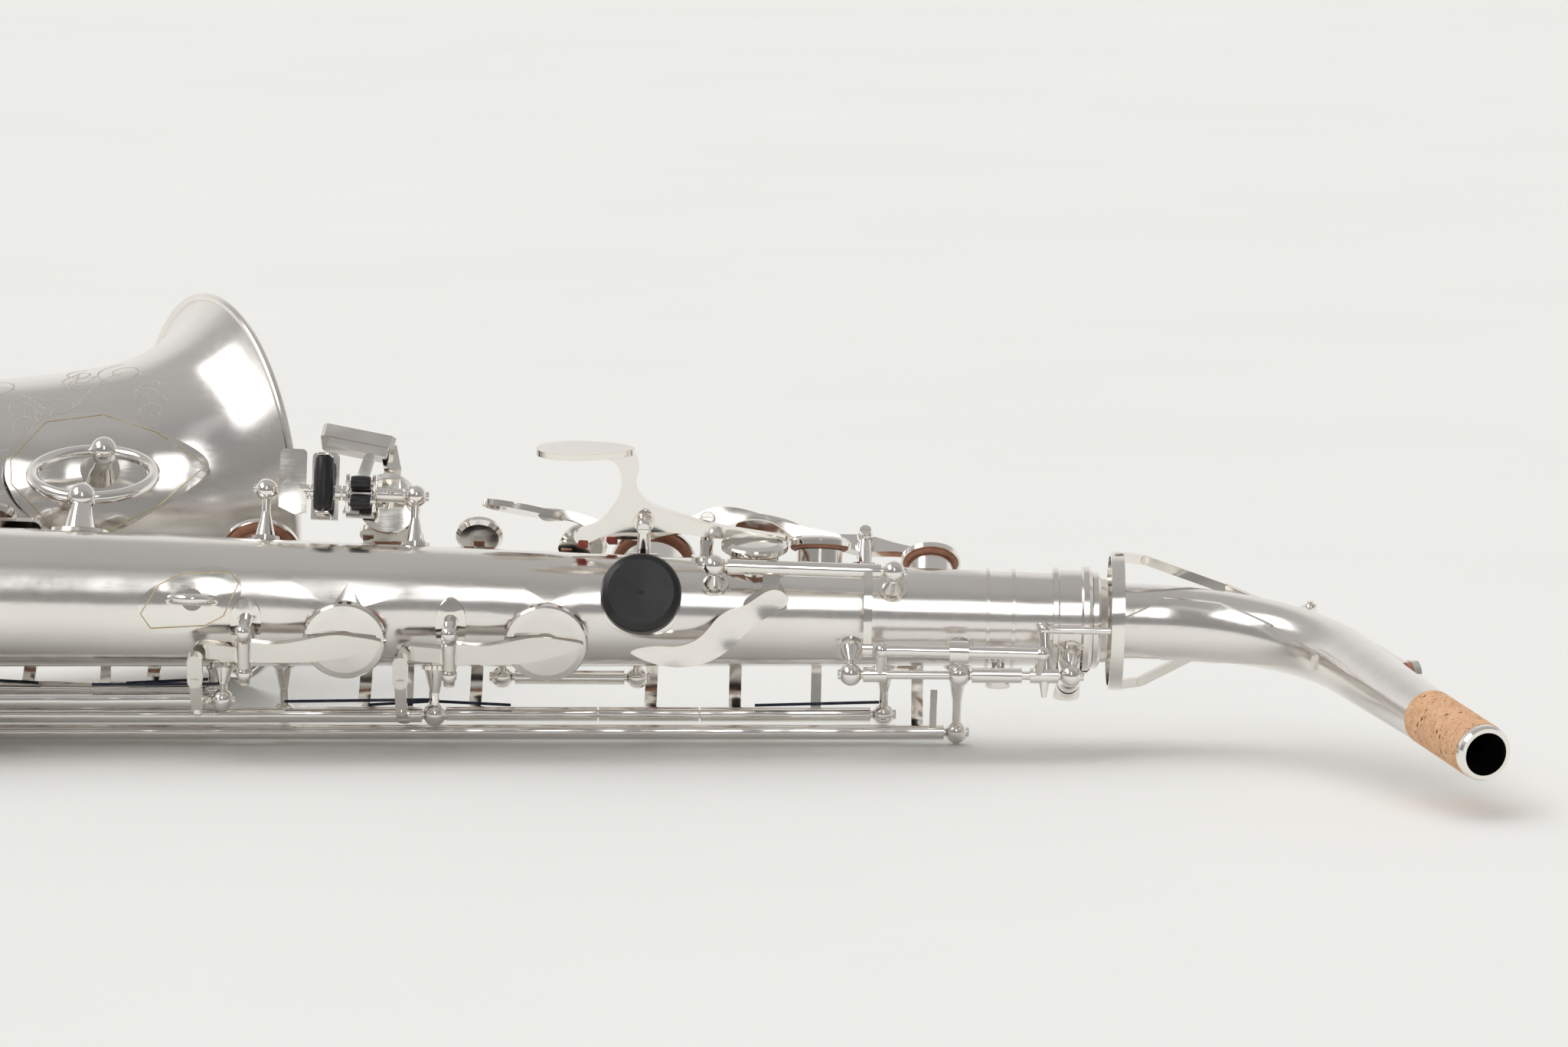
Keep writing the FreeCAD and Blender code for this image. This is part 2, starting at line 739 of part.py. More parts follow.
def cup_guard(tube, x, angle, radius, turns=(0, 90, 180)):
    height = GUARD_HEIGHT
    out = tube.out(angle)
    centre = tube.at(x, angle, height)
    side = tube.round_about(angle)
    top = turned([(radius * 0.62, -0.9), (radius * 0.86, -0.9), (radius * 0.86, 0.9), (radius * 0.62, 0.9)],
                 centre, out)
    cross = bar(centre - tube.along * radius * 0.7, centre + tube.along * radius * 0.7, 5.0, 1.8, side)
    hub = rod(centre - out * 1.4, centre + out * 1.4, 4.2)
    legs = []
    for turn in turns:
        way = tube.along * math.cos(math.radians(turn)) + side * math.sin(math.radians(turn))
        knee = centre + way * radius * 0.74
        foot_way = tube.along * math.cos(math.radians(turn)) * (radius + 5.5)
        foot_side = math.sin(math.radians(turn)) * (radius + 5.5)
        foot_angle = angle + math.degrees(math.asin(max(-0.95, min(0.95, foot_side / tube.wall(x)))))
        foot_x = x + foot_way.dot(tube.along)
        foot = tube.at(foot_x, foot_angle, -0.5)
        elbow = knee + way * (radius * 0.26 + 4.5) - out * 1.5
        legs.append(chain([knee, elbow, foot], 1.5))
    return join(top, cross, hub, *legs)


def low_key_guards():
    solids = [guard.cut([BODY_CORE, solid_bow(), solid_bell()]) for guard in low_guards()]
    return Part.Compound([sorted(solid.Solids, key=lambda item: -item.Volume)[0] for solid in solids])


def bell_key_guard():
    """Twin rails over the low B and B flat cups, joined at the hubs."""
    solids = []
    for name in GUARDED_BELL_HOLES:
        x, angle, radius = BELL_HOLES[name]
        solids.append(cup_guard(BELL, x, angle, radius))
    whole = join(*solids).cut(solid_bell())
    return Part.Compound(whole.Solids[:2])


def guard_felts():
    """Felt bumpers on threaded stems, one in each guard's hub."""
    felts = []
    spots = [(BODY,) + HOLES["low_eb"][:2], (bow_tube(), 0, 0)]
    spots += [(BELL,) + BELL_HOLES[name][:2] for name in GUARDED_BELL_HOLES]
    for tube, x, angle in spots:
        top = tube.at(x, angle, GUARD_HEIGHT - 1.4)
        felts.append(rod(top - tube.out(angle) * 1.3, top, 3.4))
    return Part.Compound(felts)


# ---- key building ----
def cup(tube, x, angle, radius, gap=0.0):
    """A pad cup: shallow dome with a rolled edge, hollow below for its pad."""
    h = CUP_HEIGHT
    profile = [(0, h), (radius * 0.35, h - 0.1), (radius * 0.8, h - 0.6), (radius - 0.5, h - 1.3),
               (radius, h - 1.9), (radius, 0), (radius - 0.6, 0), (radius - 0.6, h - 2.0), (0, h - 1.3)]
    return turned(profile, tube.at(x, angle, CHIMNEY + PAD_STAND + gap), tube.out(angle))


def arm(tube, x, wide, thickness, ends):
    """A curved arm across the tube, through three (angle, height) spots."""
    low = [tube.at(x, angle, height) for angle, height in ends]
    high = [tube.at(x, angle, height + thickness) for angle, height in ends]
    edges = [Part.Arc(low[0], low[1], low[2]).toShape(), Part.makeLine(low[2], high[2]),
             Part.Arc(high[2], high[1], high[0]).toShape(), Part.makeLine(high[0], low[0])]
    face = Part.Face(Part.Wire(edges))
    face.translate(tube.along * (-wide / 2))
    return face.extrude(tube.along * wide)


def cup_top(gap):
    return CHIMNEY + PAD_STAND + gap + CUP_HEIGHT


def pearl_seat(tube, x, angle, height, radius=7.0):
    """A shallow round holder for a finger pearl."""
    profile = [(0, 0), (radius - 1.2, 0), (radius, 1.0), (radius, 2.2), (radius - 0.7, 2.2), (radius - 0.7, 1.2),
               (0, 1.2)]
    return turned(profile, tube.at(x, angle, height), tube.out(angle))


def stack_key(name, line_name, span, gap=OPEN_GAP, pearl=None, foot=None):
    """A key drawn shut over its tone hole and then swung open about its hinge."""
    x, angle, radius = HOLES[name]
    line_angle, line_height, stops = LINES[line_name]
    top = cup_top(0)
    middle = (line_angle + angle) / 2
    over = (top + line_height) / 2 + 2.6
    pieces = [hinge_tube(line_name, span[0], span[1]), cup(BODY, x, angle, radius)]
    pieces.append(arm(BODY, x, 3.6, 2.2, [(line_angle, line_height - 1.1), (middle, over), (angle, top - 0.5)]))
    if pearl:
        pearl_angle, pearl_x, pearl_height = pearl
        pieces.append(arm(BODY, x, 3.2, 2.0, [(angle + 3, top - 0.4), ((angle + pearl_angle) / 2, top + 0.8),
                                              (pearl_angle, pearl_height - 1.0)]))
        if abs(pearl_x - x) > 1:
            pieces.append(bar(BODY.at(x, pearl_angle, pearl_height + 0.2),
                              BODY.at(pearl_x, pearl_angle, pearl_height + 0.2), 5.0, 2.0,
                              BODY.round_about(pearl_angle)))
        pieces.append(pearl_seat(BODY, pearl_x, pearl_angle, pearl_height))
    if foot:
        pieces.append(key_foot(line_name, foot))
    key = bored(join(*pieces), line_name, span[0] + 3, span[1] - 3)
    key.rotate(line(line_name, x), hinge_axis(line_name, x), opening(name, line_name, gap))
    return key


def hinge_axis(line_name, x):
    return (line(line_name, x + 10) - line(line_name, x)).normalize()


def opening(name, line_name, gap):
    """Turn in degrees that lifts a cup off its tone hole by the gap."""
    x, angle, radius = HOLES[name]
    lever = hinge_axis(line_name, x).cross(BODY.at(x, angle, CHIMNEY) - line(line_name, x))
    return math.degrees(gap / lever.dot(BODY.out(angle)))


def bored(solid, line_name, first, last):
    """Cuts the rod's running bore through a whole key."""
    return solid.cut(rod(line(line_name, first), line(line_name, last), ROD_RADIUS + RUNNING))


def key_foot(line_name, x):
    """A pointed tail under a hinge tube, with room for a cork."""
    angle, height, stops = LINES[line_name]
    start = line(line_name, x) - BODY.out(angle) * 1.8
    return bar(start, BODY.at(x, angle - 16, 4.4), 3.0, 1.8, BODY.along)


def key_c():
    return stack_key("key_c", "upper_stack", (-63.8, -114.0), 3.6, None, -80.0)


def key_b():
    return stack_key("key_b", "upper_stack", (-114.5, -144.0), OPEN_GAP, (-198.0, -118.0, 8.8))


def key_bis():
    return stack_key("key_bis", "bis", (-136.8, -169.2), 3.6, (-219.0, -150.0, 8.6))


def key_a():
    return stack_key("key_a", "upper_stack", (-144.5, -189.2), OPEN_GAP, (-225.0, -181.0, 8.8))


def key_g():
    return stack_key("key_g", "upper_stack", (-196.8, -233.2), OPEN_GAP, (-225.5, -208.0, 9.2), -200.5)


def key_fsharp():
    return stack_key("key_fsharp", "lower_stack", (-262.2, -294.0), 4.6, None, -290.5)


def key_f():
    return stack_key("key_f", "lower_stack", (-294.5, -331.3), OPEN_GAP, (-220.0, -325.0, 8.6))


def key_e():
    return stack_key("key_e", "lower_stack", (-338.7, -375.0), OPEN_GAP, (-230.0, -352.0, 8.8))


def key_d():
    return stack_key("key_d", "lower_stack", (-375.5, -415.2), OPEN_GAP, (-228.0, -392.0, 8.8))


def gsharp_cup():
    x, angle, radius = HOLES["gsharp_cup"]
    line_angle, height, stops = LINES["gsharp"]
    top = cup_top(0)
    tube = hinge_tube("gsharp", -235.8, -254.2)
    reach = arm(BODY, x, 4.0, 2.2, [(line_angle, height - 1.0), ((line_angle + angle) / 2, top + 1.5),
                                    (angle, top - 0.5)])
    return bored(join(tube, reach, cup(BODY, x, angle, radius)), "gsharp", -230, -260)


def high_e():
    """Long hinge from the right palm's touch to the high E cup at the top."""
    x, angle, radius = HOLES["high_e"]
    line_angle, height, stops = LINES["side_high_e"]
    tube = hinge_tube("side_high_e", -42.2, -392.3)
    reach = arm(BODY, -50.0, 3.4, 2.2, [(line_angle, height - 1.2), (-128, 14.5), (angle, cup_top(0) - 0.5)])
    tail = arm(BODY, -45.5, 2.0, 2.2, [(line_angle + 2, height - 1.2), (-92, 12.0), (-84, 7.0)])
    touch = side_touch("side_high_e", -348, 17.0, -108, 24.0)
    return bored(join(tube, reach, tail, cup(BODY, x, angle, radius), touch), "side_high_e", -40, -396)


def side_touch(name, x, length, angle, height):
    """A paddle for the right palm, carried by an arm on the hinge tube."""
    line_angle, line_height, stops = LINES[name]
    seat = BODY.at(x, angle, height)
    outline = [(-length, -3.0), (-length + 3, -5.2), (length - 4, -4.4), (length, 0), (length - 4, 4.4),
               (-length + 3, 5.2), (-length, 3.0)]
    paddle = plate(seat, BODY.along, BODY.round_about(angle), outline, 2.0)
    strut = bar(line(name, x), seat, 7.0, 2.6, BODY.along)
    bore = rod(line(name, x - 9), line(name, x + 9), ROD_RADIUS + RUNNING)
    return join(strut.cut(bore), paddle)


def side_lever(name, first, last, fork_x):
    """Right-hand side key lever: touch at the bottom, fork paddle at the top."""
    angle, height, stops = LINES[name]
    tube = hinge_tube(name, first, last)
    low = line(name, fork_x)
    bend = BODY.at(fork_x, -62, 14.5)
    high = BODY.at(fork_x, -38, 12.5)
    strut = bar(low + BODY.out(angle) * 1.2, bend, 3.4, 2.2, BODY.along)
    blade = bar(bend, high, 3.4, 2.4, BODY.along)
    head = bar(high, BODY.at(fork_x, -26, 11.4), 4.4, 3.0, BODY.along)
    return bored(join(tube, strut, blade, head), name, first + 3, last - 3)


def side_c_lever():
    lever = side_lever("side_c", -195.8, -382.2, -201.0)
    return join(lever, side_touch("side_c", -368, 11.0, -80, 22.0))


def side_bb_lever():
    lever = side_lever("side_bb", -257.8, -372.2, -260.5)
    return join(lever, side_touch("side_bb", -335, 15.0, -68, 17.0))


def side_cup(name):
    """See-saw key: leaf-shaped blade over its cup, tail under the lever's fork."""
    x, angle, radius = HOLES[name]
    pivot_x, pivot_angle, pivot_height, half = PIVOTS[name]
    top = cup_top(0)
    barrel = pivot_barrel(name)
    seat = BODY.at(pivot_x, pivot_angle, pivot_height)
    tail_end = BODY.at(pivot_x - 12.0, pivot_angle, 7.0)
    start = BODY.at(pivot_x, pivot_angle, pivot_height + 0.2)
    run = x - pivot_x
    leaf = [(-2, -2.4), (6, -3.1), (run - 2, -3.9), (run + radius * 0.45, -2.3), (run + radius * 0.92, 0),
            (run + radius * 0.45, 2.3), (run - 2, 3.9), (6, 3.1), (-2, 2.4)]
    slope = (BODY.at(x, angle, top + 0.5) - start)
    along = slope.normalize()
    side = (BODY.round_about(angle) - along * BODY.round_about(angle).dot(along)).normalize()
    blade = plate(start, along, side, leaf, 2.2)
    tail = bar(seat, tail_end, 5.0, 2.4, BODY.round_about(pivot_angle))
    bore = rod(pivot(name, -9), pivot(name, 9), 1.0 + RUNNING)
    return join(blade.cut(bore), tail.cut(bore), barrel, cup(BODY, x, angle, radius))


def side_c_cup():
    return side_cup("side_c_cup")


def side_bb_cup():
    return side_cup("side_bb_cup")


def palm_profile(name, outline, thickness):
    """A palm key's upright web, in the plane of the tube's axis."""
    angle = PIVOTS[name][1]
    origin = BODY.at(0, angle, 0)
    wall = BODY.wall(0)
    points = [(x, height + BODY.wall(x) - wall) for x, height in outline]
    return plate(origin, BODY.along, BODY.out(angle), points, thickness)


def palm_key(name, outline, touch, touch_x, touch_height, tilt, thickness=3.0):
    x, angle, radius = HOLES[name]
    web = palm_profile(name, outline, thickness)
    out = BODY.out(PIVOTS[name][1])
    side = BODY.round_about(PIVOTS[name][1])
    turn = math.radians(tilt)
    along = BODY.along * math.cos(turn) + out * math.sin(turn)
    blade = plate(BODY.at(touch_x, PIVOTS[name][1], touch_height), along, side, touch, 1.8)
    bore = rod(pivot(name, -12), pivot(name, 12), 1.0 + RUNNING)
    whole = join(web, blade, pivot_barrel(name, 3.0), cup(BODY, x, angle, radius))
    return whole.cut(bore)


def palm_d():
    outline = [(-138, 32.2), (-134.6, 31.8), (-133.2, 28), (-134.0, 23), (-130.5, 17.5), (-123, 14.4),
               (-112, 11.6), (-100, 9.8), (-90, 8.3), (-101, 7.4), (-113, 7.6), (-125, 8.6), (-133, 8.2),
               (-140, 7.6), (-146, 5.2), (-151, 4.2), (-152, 6.0), (-146.5, 9.6), (-141.5, 14.5), (-138.6, 20),
               (-138.4, 25.5), (-141, 29.6), (-150, 31.3), (-146, 32.4)]
    touch = [(-14, -3.5), (-9, -6.6), (3, -6.4), (11, -3.2), (13.5, 0), (11, 3.2), (3, 6.4), (-9, 6.6), (-14, 3.5)]
    return palm_key("palm_d", outline, touch, -148.0, 32.0, 1.0)


def palm_eb():
    outline = [(-163, 12.4), (-153, 12.0), (-146, 10.2), (-138, 8.0), (-128, 8.6), (-119, 11.4), (-112, 14.8),
               (-100, 14.4), (-88, 11.2), (-74, 7.9), (-80, 6.9), (-87, 7.2), (-93, 11.0), (-104, 11.2),
               (-112, 8.0), (-119, 7.4), (-130, 5.0), (-140, 4.8), (-148, 7.2), (-155, 9.6), (-163, 10.8)]
    touch = [(-12, -3), (-8, -6.0), (0, -6.4), (8, -3.8), (12, 0), (8, 3.8), (0, 6.4), (-8, 6.0), (-12, 3)]
    return palm_key("palm_eb", outline, touch, -166.5, 12.0, -9.0, 2.8)


def palm_f():
    outline = [(-92, 16.0), (-84, 14.8), (-76, 13.6), (-66, 13.6), (-58, 11.4), (-47, 9.2), (-40, 7.6),
               (-48, 7.2), (-58, 8.0), (-66, 7.6), (-76, 10.2), (-84, 12.2), (-92, 14.2)]
    touch = [(-9, -3), (-5, -5.8), (3, -5.4), (9, -2.6), (10.5, 0), (9, 2.6), (3, 5.4), (-5, 5.8), (-9, 3)]
    return palm_key("palm_f", outline, touch, -95.0, 15.2, -6.0, 2.6)


def low_eb():
    """Low E flat key: hinge beside the cup and a pinky touch further up."""
    x, angle, radius = HOLES["low_eb"]
    line_angle, height, stops = LINES["low_eb"]
    tube = hinge_tube("low_eb", -428.3, -456.2)
    reach = arm(BODY, x, 5.0, 2.2, [(line_angle, height - 1.1), (-87, 10.4), (angle, cup_top(0) - 0.5)])
    whole = join(tube, reach, cup(BODY, x, angle, radius), pinky_touch("low_eb", -438.0, -138, 14.5))
    return bored(whole, "low_eb", -408, -460)


def pinky_touch(name, x, angle, height):
    line_angle, line_height, stops = LINES[name]
    outline = [(-8, -5), (-6, -6.4), (6, -6.4), (8, -5), (8, 5), (6, 6.4), (-6, 6.4), (-8, 5)]
    seat = plate(BODY.at(x + 4, angle, height), BODY.along, BODY.round_about(angle), outline, 2.0)
    strut = bar(line(name, x), BODY.at(x, angle, height - 0.4), 5.0, 2.2, BODY.along)
    bore = rod(line(name, x - 9), line(name, x + 9), ROD_RADIUS + RUNNING)
    return join(strut.cut(bore), seat)


def low_c():
    """Low C key on the bow."""
    tube = bow_tube()
    reach = BOW_POST_REACH - BALL_RADIUS - SIDE_PLAY
    barrel = pipe(bow_line(-reach), bow_line(reach), TUBE_RADIUS, ROD_RADIUS + RUNNING)
    top = tube.at(0, 0, cup_top(LOW_GAP) - 0.2)
    knee = bow_line(0) + tube.out(0) * (cup_top(LOW_GAP) + 3.2)
    bore = rod(bow_line(-30), bow_line(30), ROD_RADIUS + RUNNING)
    rise = bar(bow_line(0), knee, 5.0, 2.2, tube.along)
    across = bar(knee, top, 5.0, 2.2, tube.along)
    return join(barrel, rise, across, cup(tube, 0, 0, LOW_C_RADIUS, LOW_GAP)).cut(bore)


# ---- left-hand table: hinge tube's ends, then the touch's angle, height and x ----
TABLE = {
    "gsharp_touch": (-202.7, -210.5, 122.0, 34.0, -217.0),
    "csharp_touch": (-210.9, -220.6, 116.0, 22.0, -215.0),
    "low_b_touch": (-221.0, -230.0, 116.0, 22.0, -226.0),
    "low_bb_touch": (-230.4, -239.3, 116.0, 22.0, -236.0),
}
TABLE_DROP = math.radians(11.0)    # slope of the top touch


def table_touch(name, webs):
    """Hinge tube of a left-hand touch with its upright webs: outline, how far behind the hinge, thickness."""
    first, last, angle, height, x = TABLE[name]
    line_angle, line_height, stops = LINES["table"]
    parts = [hinge_tube("table", first, last)]
    for outline, behind, thickness in webs:
        origin = BODY.at(0, line_angle, 0) + BODY.round_about(line_angle) * behind
        points = [(u, v + BODY.wall(u) - BODY.wall(0)) for u, v in outline]
        parts.append(plate(origin, BODY.along, BODY.out(line_angle), points, thickness, False))
    return join(*parts).cut(rod(line("table", first + 5), line("table", last - 5), ROD_RADIUS + RUNNING))


def rounded(low_x, high_x, low, high, corner):
    """Outline of a rectangle with its upper corners rounded."""
    points = [(low_x, low), (low_x, high - corner)]
    for index in range(1, 6):
        turn = math.radians(18 * index)
        points.append((low_x + corner * (1 - math.cos(turn)), high - corner * (1 - math.sin(turn))))
    for index in range(5):
        turn = math.radians(90 - 18 * index)
        points.append((high_x - corner * (1 - math.cos(turn)), high - corner * (1 - math.sin(turn))))
    points += [(high_x, high - corner), (high_x, low)]
    return points


def gsharp_touch():
    """The top touch: a sloping slab over the others, and a round stop behind its hinge."""
    first, last, angle, height, x = TABLE["gsharp_touch"]
    turn = TABLE_DROP
    along = BODY.along * math.cos(turn) - BODY.out(angle) * math.sin(turn)
    seat = BODY.at(x, angle, height)
    outline = [(-11.0, -4.6), (-9.8, -5.8), (9.8, -5.8), (11.0, -4.6), (11.0, 4.6), (9.8, 5.8), (-9.8, 5.8),
               (-11.0, 4.6)]
    slab = plate(seat, along, BODY.round_about(angle), outline, 4.0, False)
    lip = plate(seat - BODY.out(angle) * 3.0 - BODY.round_about(angle) * 4.6, along, BODY.round_about(angle),
                [(-9.0, -0.9), (9.0, -0.9), (9.0, 0.9), (-9.0, 0.9)], 4.0, False)
    knee = BODY.at(-206.6, 121.0, 25.0)
    stem = bar(line("table", -206.6) + BODY.out(108) * 1.0, knee, 5.0, 2.4, BODY.along)
    rise = bar(knee, seat + along * 9.0, 5.0, 2.4, BODY.along)
    centre = BODY.at(-207.5, 108.0, 13.5) + BODY.round_about(108) * 4.6
    disc = rod(centre, centre + BODY.round_about(108) * 1.5, 8.4)
    ring = pipe(centre - BODY.round_about(108) * 0.3, centre + BODY.round_about(108) * 1.5, 8.9, 7.4)
    neck = rod(line("table", -206.6) + BODY.round_about(108) * 1.6, centre + BODY.round_about(108), 2.0)
    bore = rod(line("table", first + 5), line("table", last - 5), ROD_RADIUS + RUNNING)
    whole = join(hinge_tube("table", first, last), stem, rise, slab, lip, disc, ring, neck)
    return whole.cut(bore)


def csharp_touch():
    """A slanting lever between the top slab and its roller arm."""
    lever = [(-220.4, 9.0), (-214.6, 26.0), (-213.6, 27.2), (-211.8, 27.0), (-211.4, 25.4), (-215.6, 9.0)]
    arm_plate = [(-219.6, 8.2), (-219.6, 19.6), (-211.3, 19.6), (-211.3, 8.2)]
    return table_touch("csharp_touch", [(lever, 0.0, 2.6), (arm_plate, 2.6, 1.4)])


def low_b_touch():
    """An upright web behind a long roller."""
    return table_touch("low_b_touch", [(rounded(-229.8, -221.8, 7.0, 27.0, 1.6), 1.2, 1.8)])


def low_bb_touch():
    """The lowest touch: an upright web, with a round-ended finger in front."""
    finger = [(-238.8, 9.5), (-239.4, 13.0), (-238.8, 16.5), (-236.8, 18.4), (-234.4, 17.6), (-232.6, 15.2),
              (-231.0, 13.6), (-231.0, 8.6), (-234.5, 7.6)]
    return table_touch("low_bb_touch", [(rounded(-239.4, -231.4, 10.0, 27.6, 1.4), 0.6, 2.0), (finger, -1.8, 2.2)])


# ---- bell keys ----
def bell_key(name, line_name, span, gap):
    x, angle, radius = BELL_HOLES[name]
    line_angle, height, stops = BELL_LINES[line_name]
    tube = pipe(bell_line(line_name, span[0]), bell_line(line_name, span[1]), TUBE_RADIUS, ROD_RADIUS + RUNNING)
    top = cup_top(gap)
    middle = (angle + line_angle) / 2
    reach = arm(BELL, x, 5.0, 2.0, [(line_angle, height - 1.2), (middle, top - 0.2), (angle, top - 0.6)])
    bore = rod(bell_line(line_name, span[0] - 3), bell_line(line_name, span[1] + 3), ROD_RADIUS + RUNNING)
    return join(tube, reach, cup(BELL, x, angle, radius, gap)).cut(bore)


def low_b_cup():
    return bell_key("low_b_cup", "bell", (30.8, 72.8), LOW_GAP)


def low_bb_cup():
    return bell_key("low_bb_cup", "bell", (80.2, 123.2), LOW_GAP)


def csharp_cup():
    return bell_key("csharp_cup", "csharp", (14.8, 49.2), 0.0)


# ---- octave mechanism ----
def octave_thumb():
    """Thumb lever: crescent touch, hinge tube and the arm across the tube."""
    tube = hinge_tube("thumb", -106.8, -62.2)
    seat = BODY.at(-116, 2, 4.6)
    across = BODY.round_about(2)
    crescent = [(-18.0, -10.5), (-8.0, -13.8), (4.0, -12.4), (12.0, -7.0), (20.0, 0.5), (27.0, 7.0), (24.5, 9.0),
                (15.0, 4.8), (7.5, 1.4), (2.0, -4.8), (-6.0, -8.0), (-13.0, -8.2)]
    touch = plate(seat, BODY.along, across, crescent, 2.0)
    riser = bar(BODY.at(-94, 24, 5.6), line("thumb", -94), 5.0, 2.4, BODY.along)
    bridge = bar(BODY.at(-99, 14, 4.6), BODY.at(-93, 25, 5.4), 6.0, 2.4, BODY.along)
    cross = arm(BODY, -65.8, 2.4, 2.4, [(41, 7.8), (12, 10.4), (-12, 9.6)])
    head = rod(BODY.at(-67.2, -14, 10.8), BODY.at(-64.3, -14, 10.8), 2.4)
    bore = rod(line("thumb", -120), line("thumb", -50), ROD_RADIUS + RUNNING)
    return join(touch, riser.cut(bore), bridge, tube, cross.cut(bore), head)


def octave_rocker():
    """Rocker beside the receiver, with the pin that lifts the neck key's ring."""
    upper = pipe(line("octave", -66.7), line("octave", -60.0), TUBE_RADIUS, ROD_RADIUS + RUNNING)
    lower = pipe(line("octave", -18.2), line("octave", -9.9), TUBE_RADIUS, ROD_RADIUS + RUNNING)
    rail_start = BODY.at(-61.4, -13.5, 12.6)
    rail_end = BODY.at(-15.0, -13.5, 13.6)
    rail = rod(rail_start, rail_end, 1.7)
    block = rod(rail_start + (rail_end - rail_start) * 0.42, rail_start + (rail_end - rail_start) * 0.54, 3.3)
    pin_from = V(-14.2, 0, 0) + BODY.out(-2) * 17.2
    pin = rod(pin_from, V(5.2, 0, 0) + BODY.out(-2) * 17.2, 1.1)
    first = rod(line("octave", -62.0), rail_start, 1.5)
    finger = rod(line("octave", -13.4), pin_from, 1.6)
    point = taper(line("octave", -14.0), BODY.at(-14.0, -43, 15.5), 1.9, 0.7)
    second = rod(line("octave", -16.0), rail_end, 1.45)
    corners = [ball(rail_start, 2.1), ball(rail_end, 2.1), ball(pin_from, 1.9)]
    bore = rod(line("octave", -80), line("octave", 0), ROD_RADIUS + RUNNING)
    whole = join(upper, lower, rail, block, first, finger, second, pin, point, *corners)
    return whole.cut(bore)


def body_octave_key():
    """Small key over the body's octave pip."""
    tube = hinge_tube("octave", -20.6, -35.1)
    pad_seat = BODY.at(-27, -66, 4.4)
    head = rod(pad_seat, pad_seat + BODY.out(-66) * 2.2, 3.6)
    reach = bar(line("octave", -27), pad_seat + BODY.out(-66) * 1.4, 4.0, 2.0, BODY.along)
    bore = rod(line("octave", -40), line("octave", -10), ROD_RADIUS + RUNNING)
    return join(tube, reach.cut(bore), head)


# ---- neck ----
SIDE = BODY.out(NECK_ANGLE)
PLANE = SIDE.cross(V(1, 0, 0))


def neck_spot(length):
    """Position, direction and outward side at a length along the neck's centreline."""
    arc = NECK_BEND * math.radians(NECK_TURN)
    if length <= NECK_STRAIGHT:
        return V(length, 0, 0), V(1, 0, 0), SIDE * -1
    turn = min(length - NECK_STRAIGHT, arc) / NECK_BEND
    way = V(math.cos(turn), 0, 0) + SIDE * math.sin(turn)
    outside = V(math.sin(turn), 0, 0) - SIDE * math.cos(turn)
    spot = V(NECK_STRAIGHT + NECK_BEND * math.sin(turn), 0, 0) + SIDE * (NECK_BEND * (1 - math.cos(turn)))
    if length > NECK_STRAIGHT + arc:
        spot = spot + way * (length - NECK_STRAIGHT - arc)
    return spot, way, outside


NECK_LENGTH = NECK_STRAIGHT + NECK_BEND * math.radians(NECK_TURN) + NECK_REACH


def neck_radius(length):
    share = max(0.0, min(1.0, length / NECK_LENGTH))
    return 11.4 + (TIP_RADIUS - 0.3 - 11.4) * share


def neck_stations(extra=0.0, first=0.0, last=None):
    last = NECK_LENGTH if last is None else last
    steps = 16
    stations = []
    for index in range(steps + 1):
        length = first + (last - first) * index / steps
        spot, way, outside = neck_spot(length)
        stations.append((spot, way, neck_radius(length) + extra))
    return stations


def neck_loft(extra=0.0, first=0.0, last=None):
    stations = neck_stations(extra, first, last)
    return Part.makeLoft([circle(c, d, r) for c, d, r in stations], True, False)


def neck_bore():
    return [neck_loft(-WALL), rod(V(-30, 0, 0), V(1, 0, 0), TENON_BORE)]


def neck_tube():
    """Neck with its tenon and collar."""
    tenon = rod(V(-24, 0, 0), V(0.3, 0, 0), TENON_RADIUS)
    collar = turned([(10.6, 0.35), (14.2, 0.35), (14.2, 1.8), (12.6, 2.6), (12.0, 4.6), (10.6, 4.6)], V(0, 0, 0),
                    V(1, 0, 0))
    whole = neck_loft().fuse([tenon, collar])
    return whole.cut(neck_bore() + [neck_pip_bore()])


def neck_pip_bore():
    spot, way, outside = neck_spot(PIP_AT)
    return rod(spot, spot + outside * 14, 1.6)


PIP_AT = 104.0
SADDLE_AT = 58.0


def neck_brace():
    """Teardrop reinforcement along the inside of the bend."""
    shell = neck_loft(1.3, 6.0, 122.0).cut(neck_loft(0.0, 4.0, 124.0))
    outline = [(10, 4.5), (22, 9.4), (40, 9.0), (60, 6.0), (84, 2.6), (100, 0.0)]
    upper = []
    lower = []
    for length, half in outline:
        spot, way, outside = neck_spot(length)
        base = spot - outside * 2.0
        upper.append(base + PLANE * half)
        lower.append(base - PLANE * half)
    cutter = []
    for index in range(len(outline) - 1):
        quad = [upper[index], upper[index + 1], lower[index + 1], lower[index]]
        if (quad[1] - quad[2]).Length < 1e-6:
            quad = quad[:3]
        face = Part.Face(Part.makePolygon(quad + [quad[0]]))
        spot, way, outside = neck_spot((outline[index][0] + outline[index + 1][0]) / 2)
        cutter.append(face.extrude(outside * -16))
    nose = rod(upper[0] * 0.5 + lower[0] * 0.5, upper[0] * 0.5 + lower[0] * 0.5 - neck_spot(10)[2] * 16, 4.5)
    return shell.common(join(nose, *cutter)).Solids[0]


def neck_cork():
    start, way, outside = neck_spot(NECK_LENGTH - CORK_LENGTH - 2.2)
    end, way, outside = neck_spot(NECK_LENGTH - 2.2)
    sleeve = rod(start, end, CORK_RADIUS)
    return sleeve.cut(neck_loft(0.0))


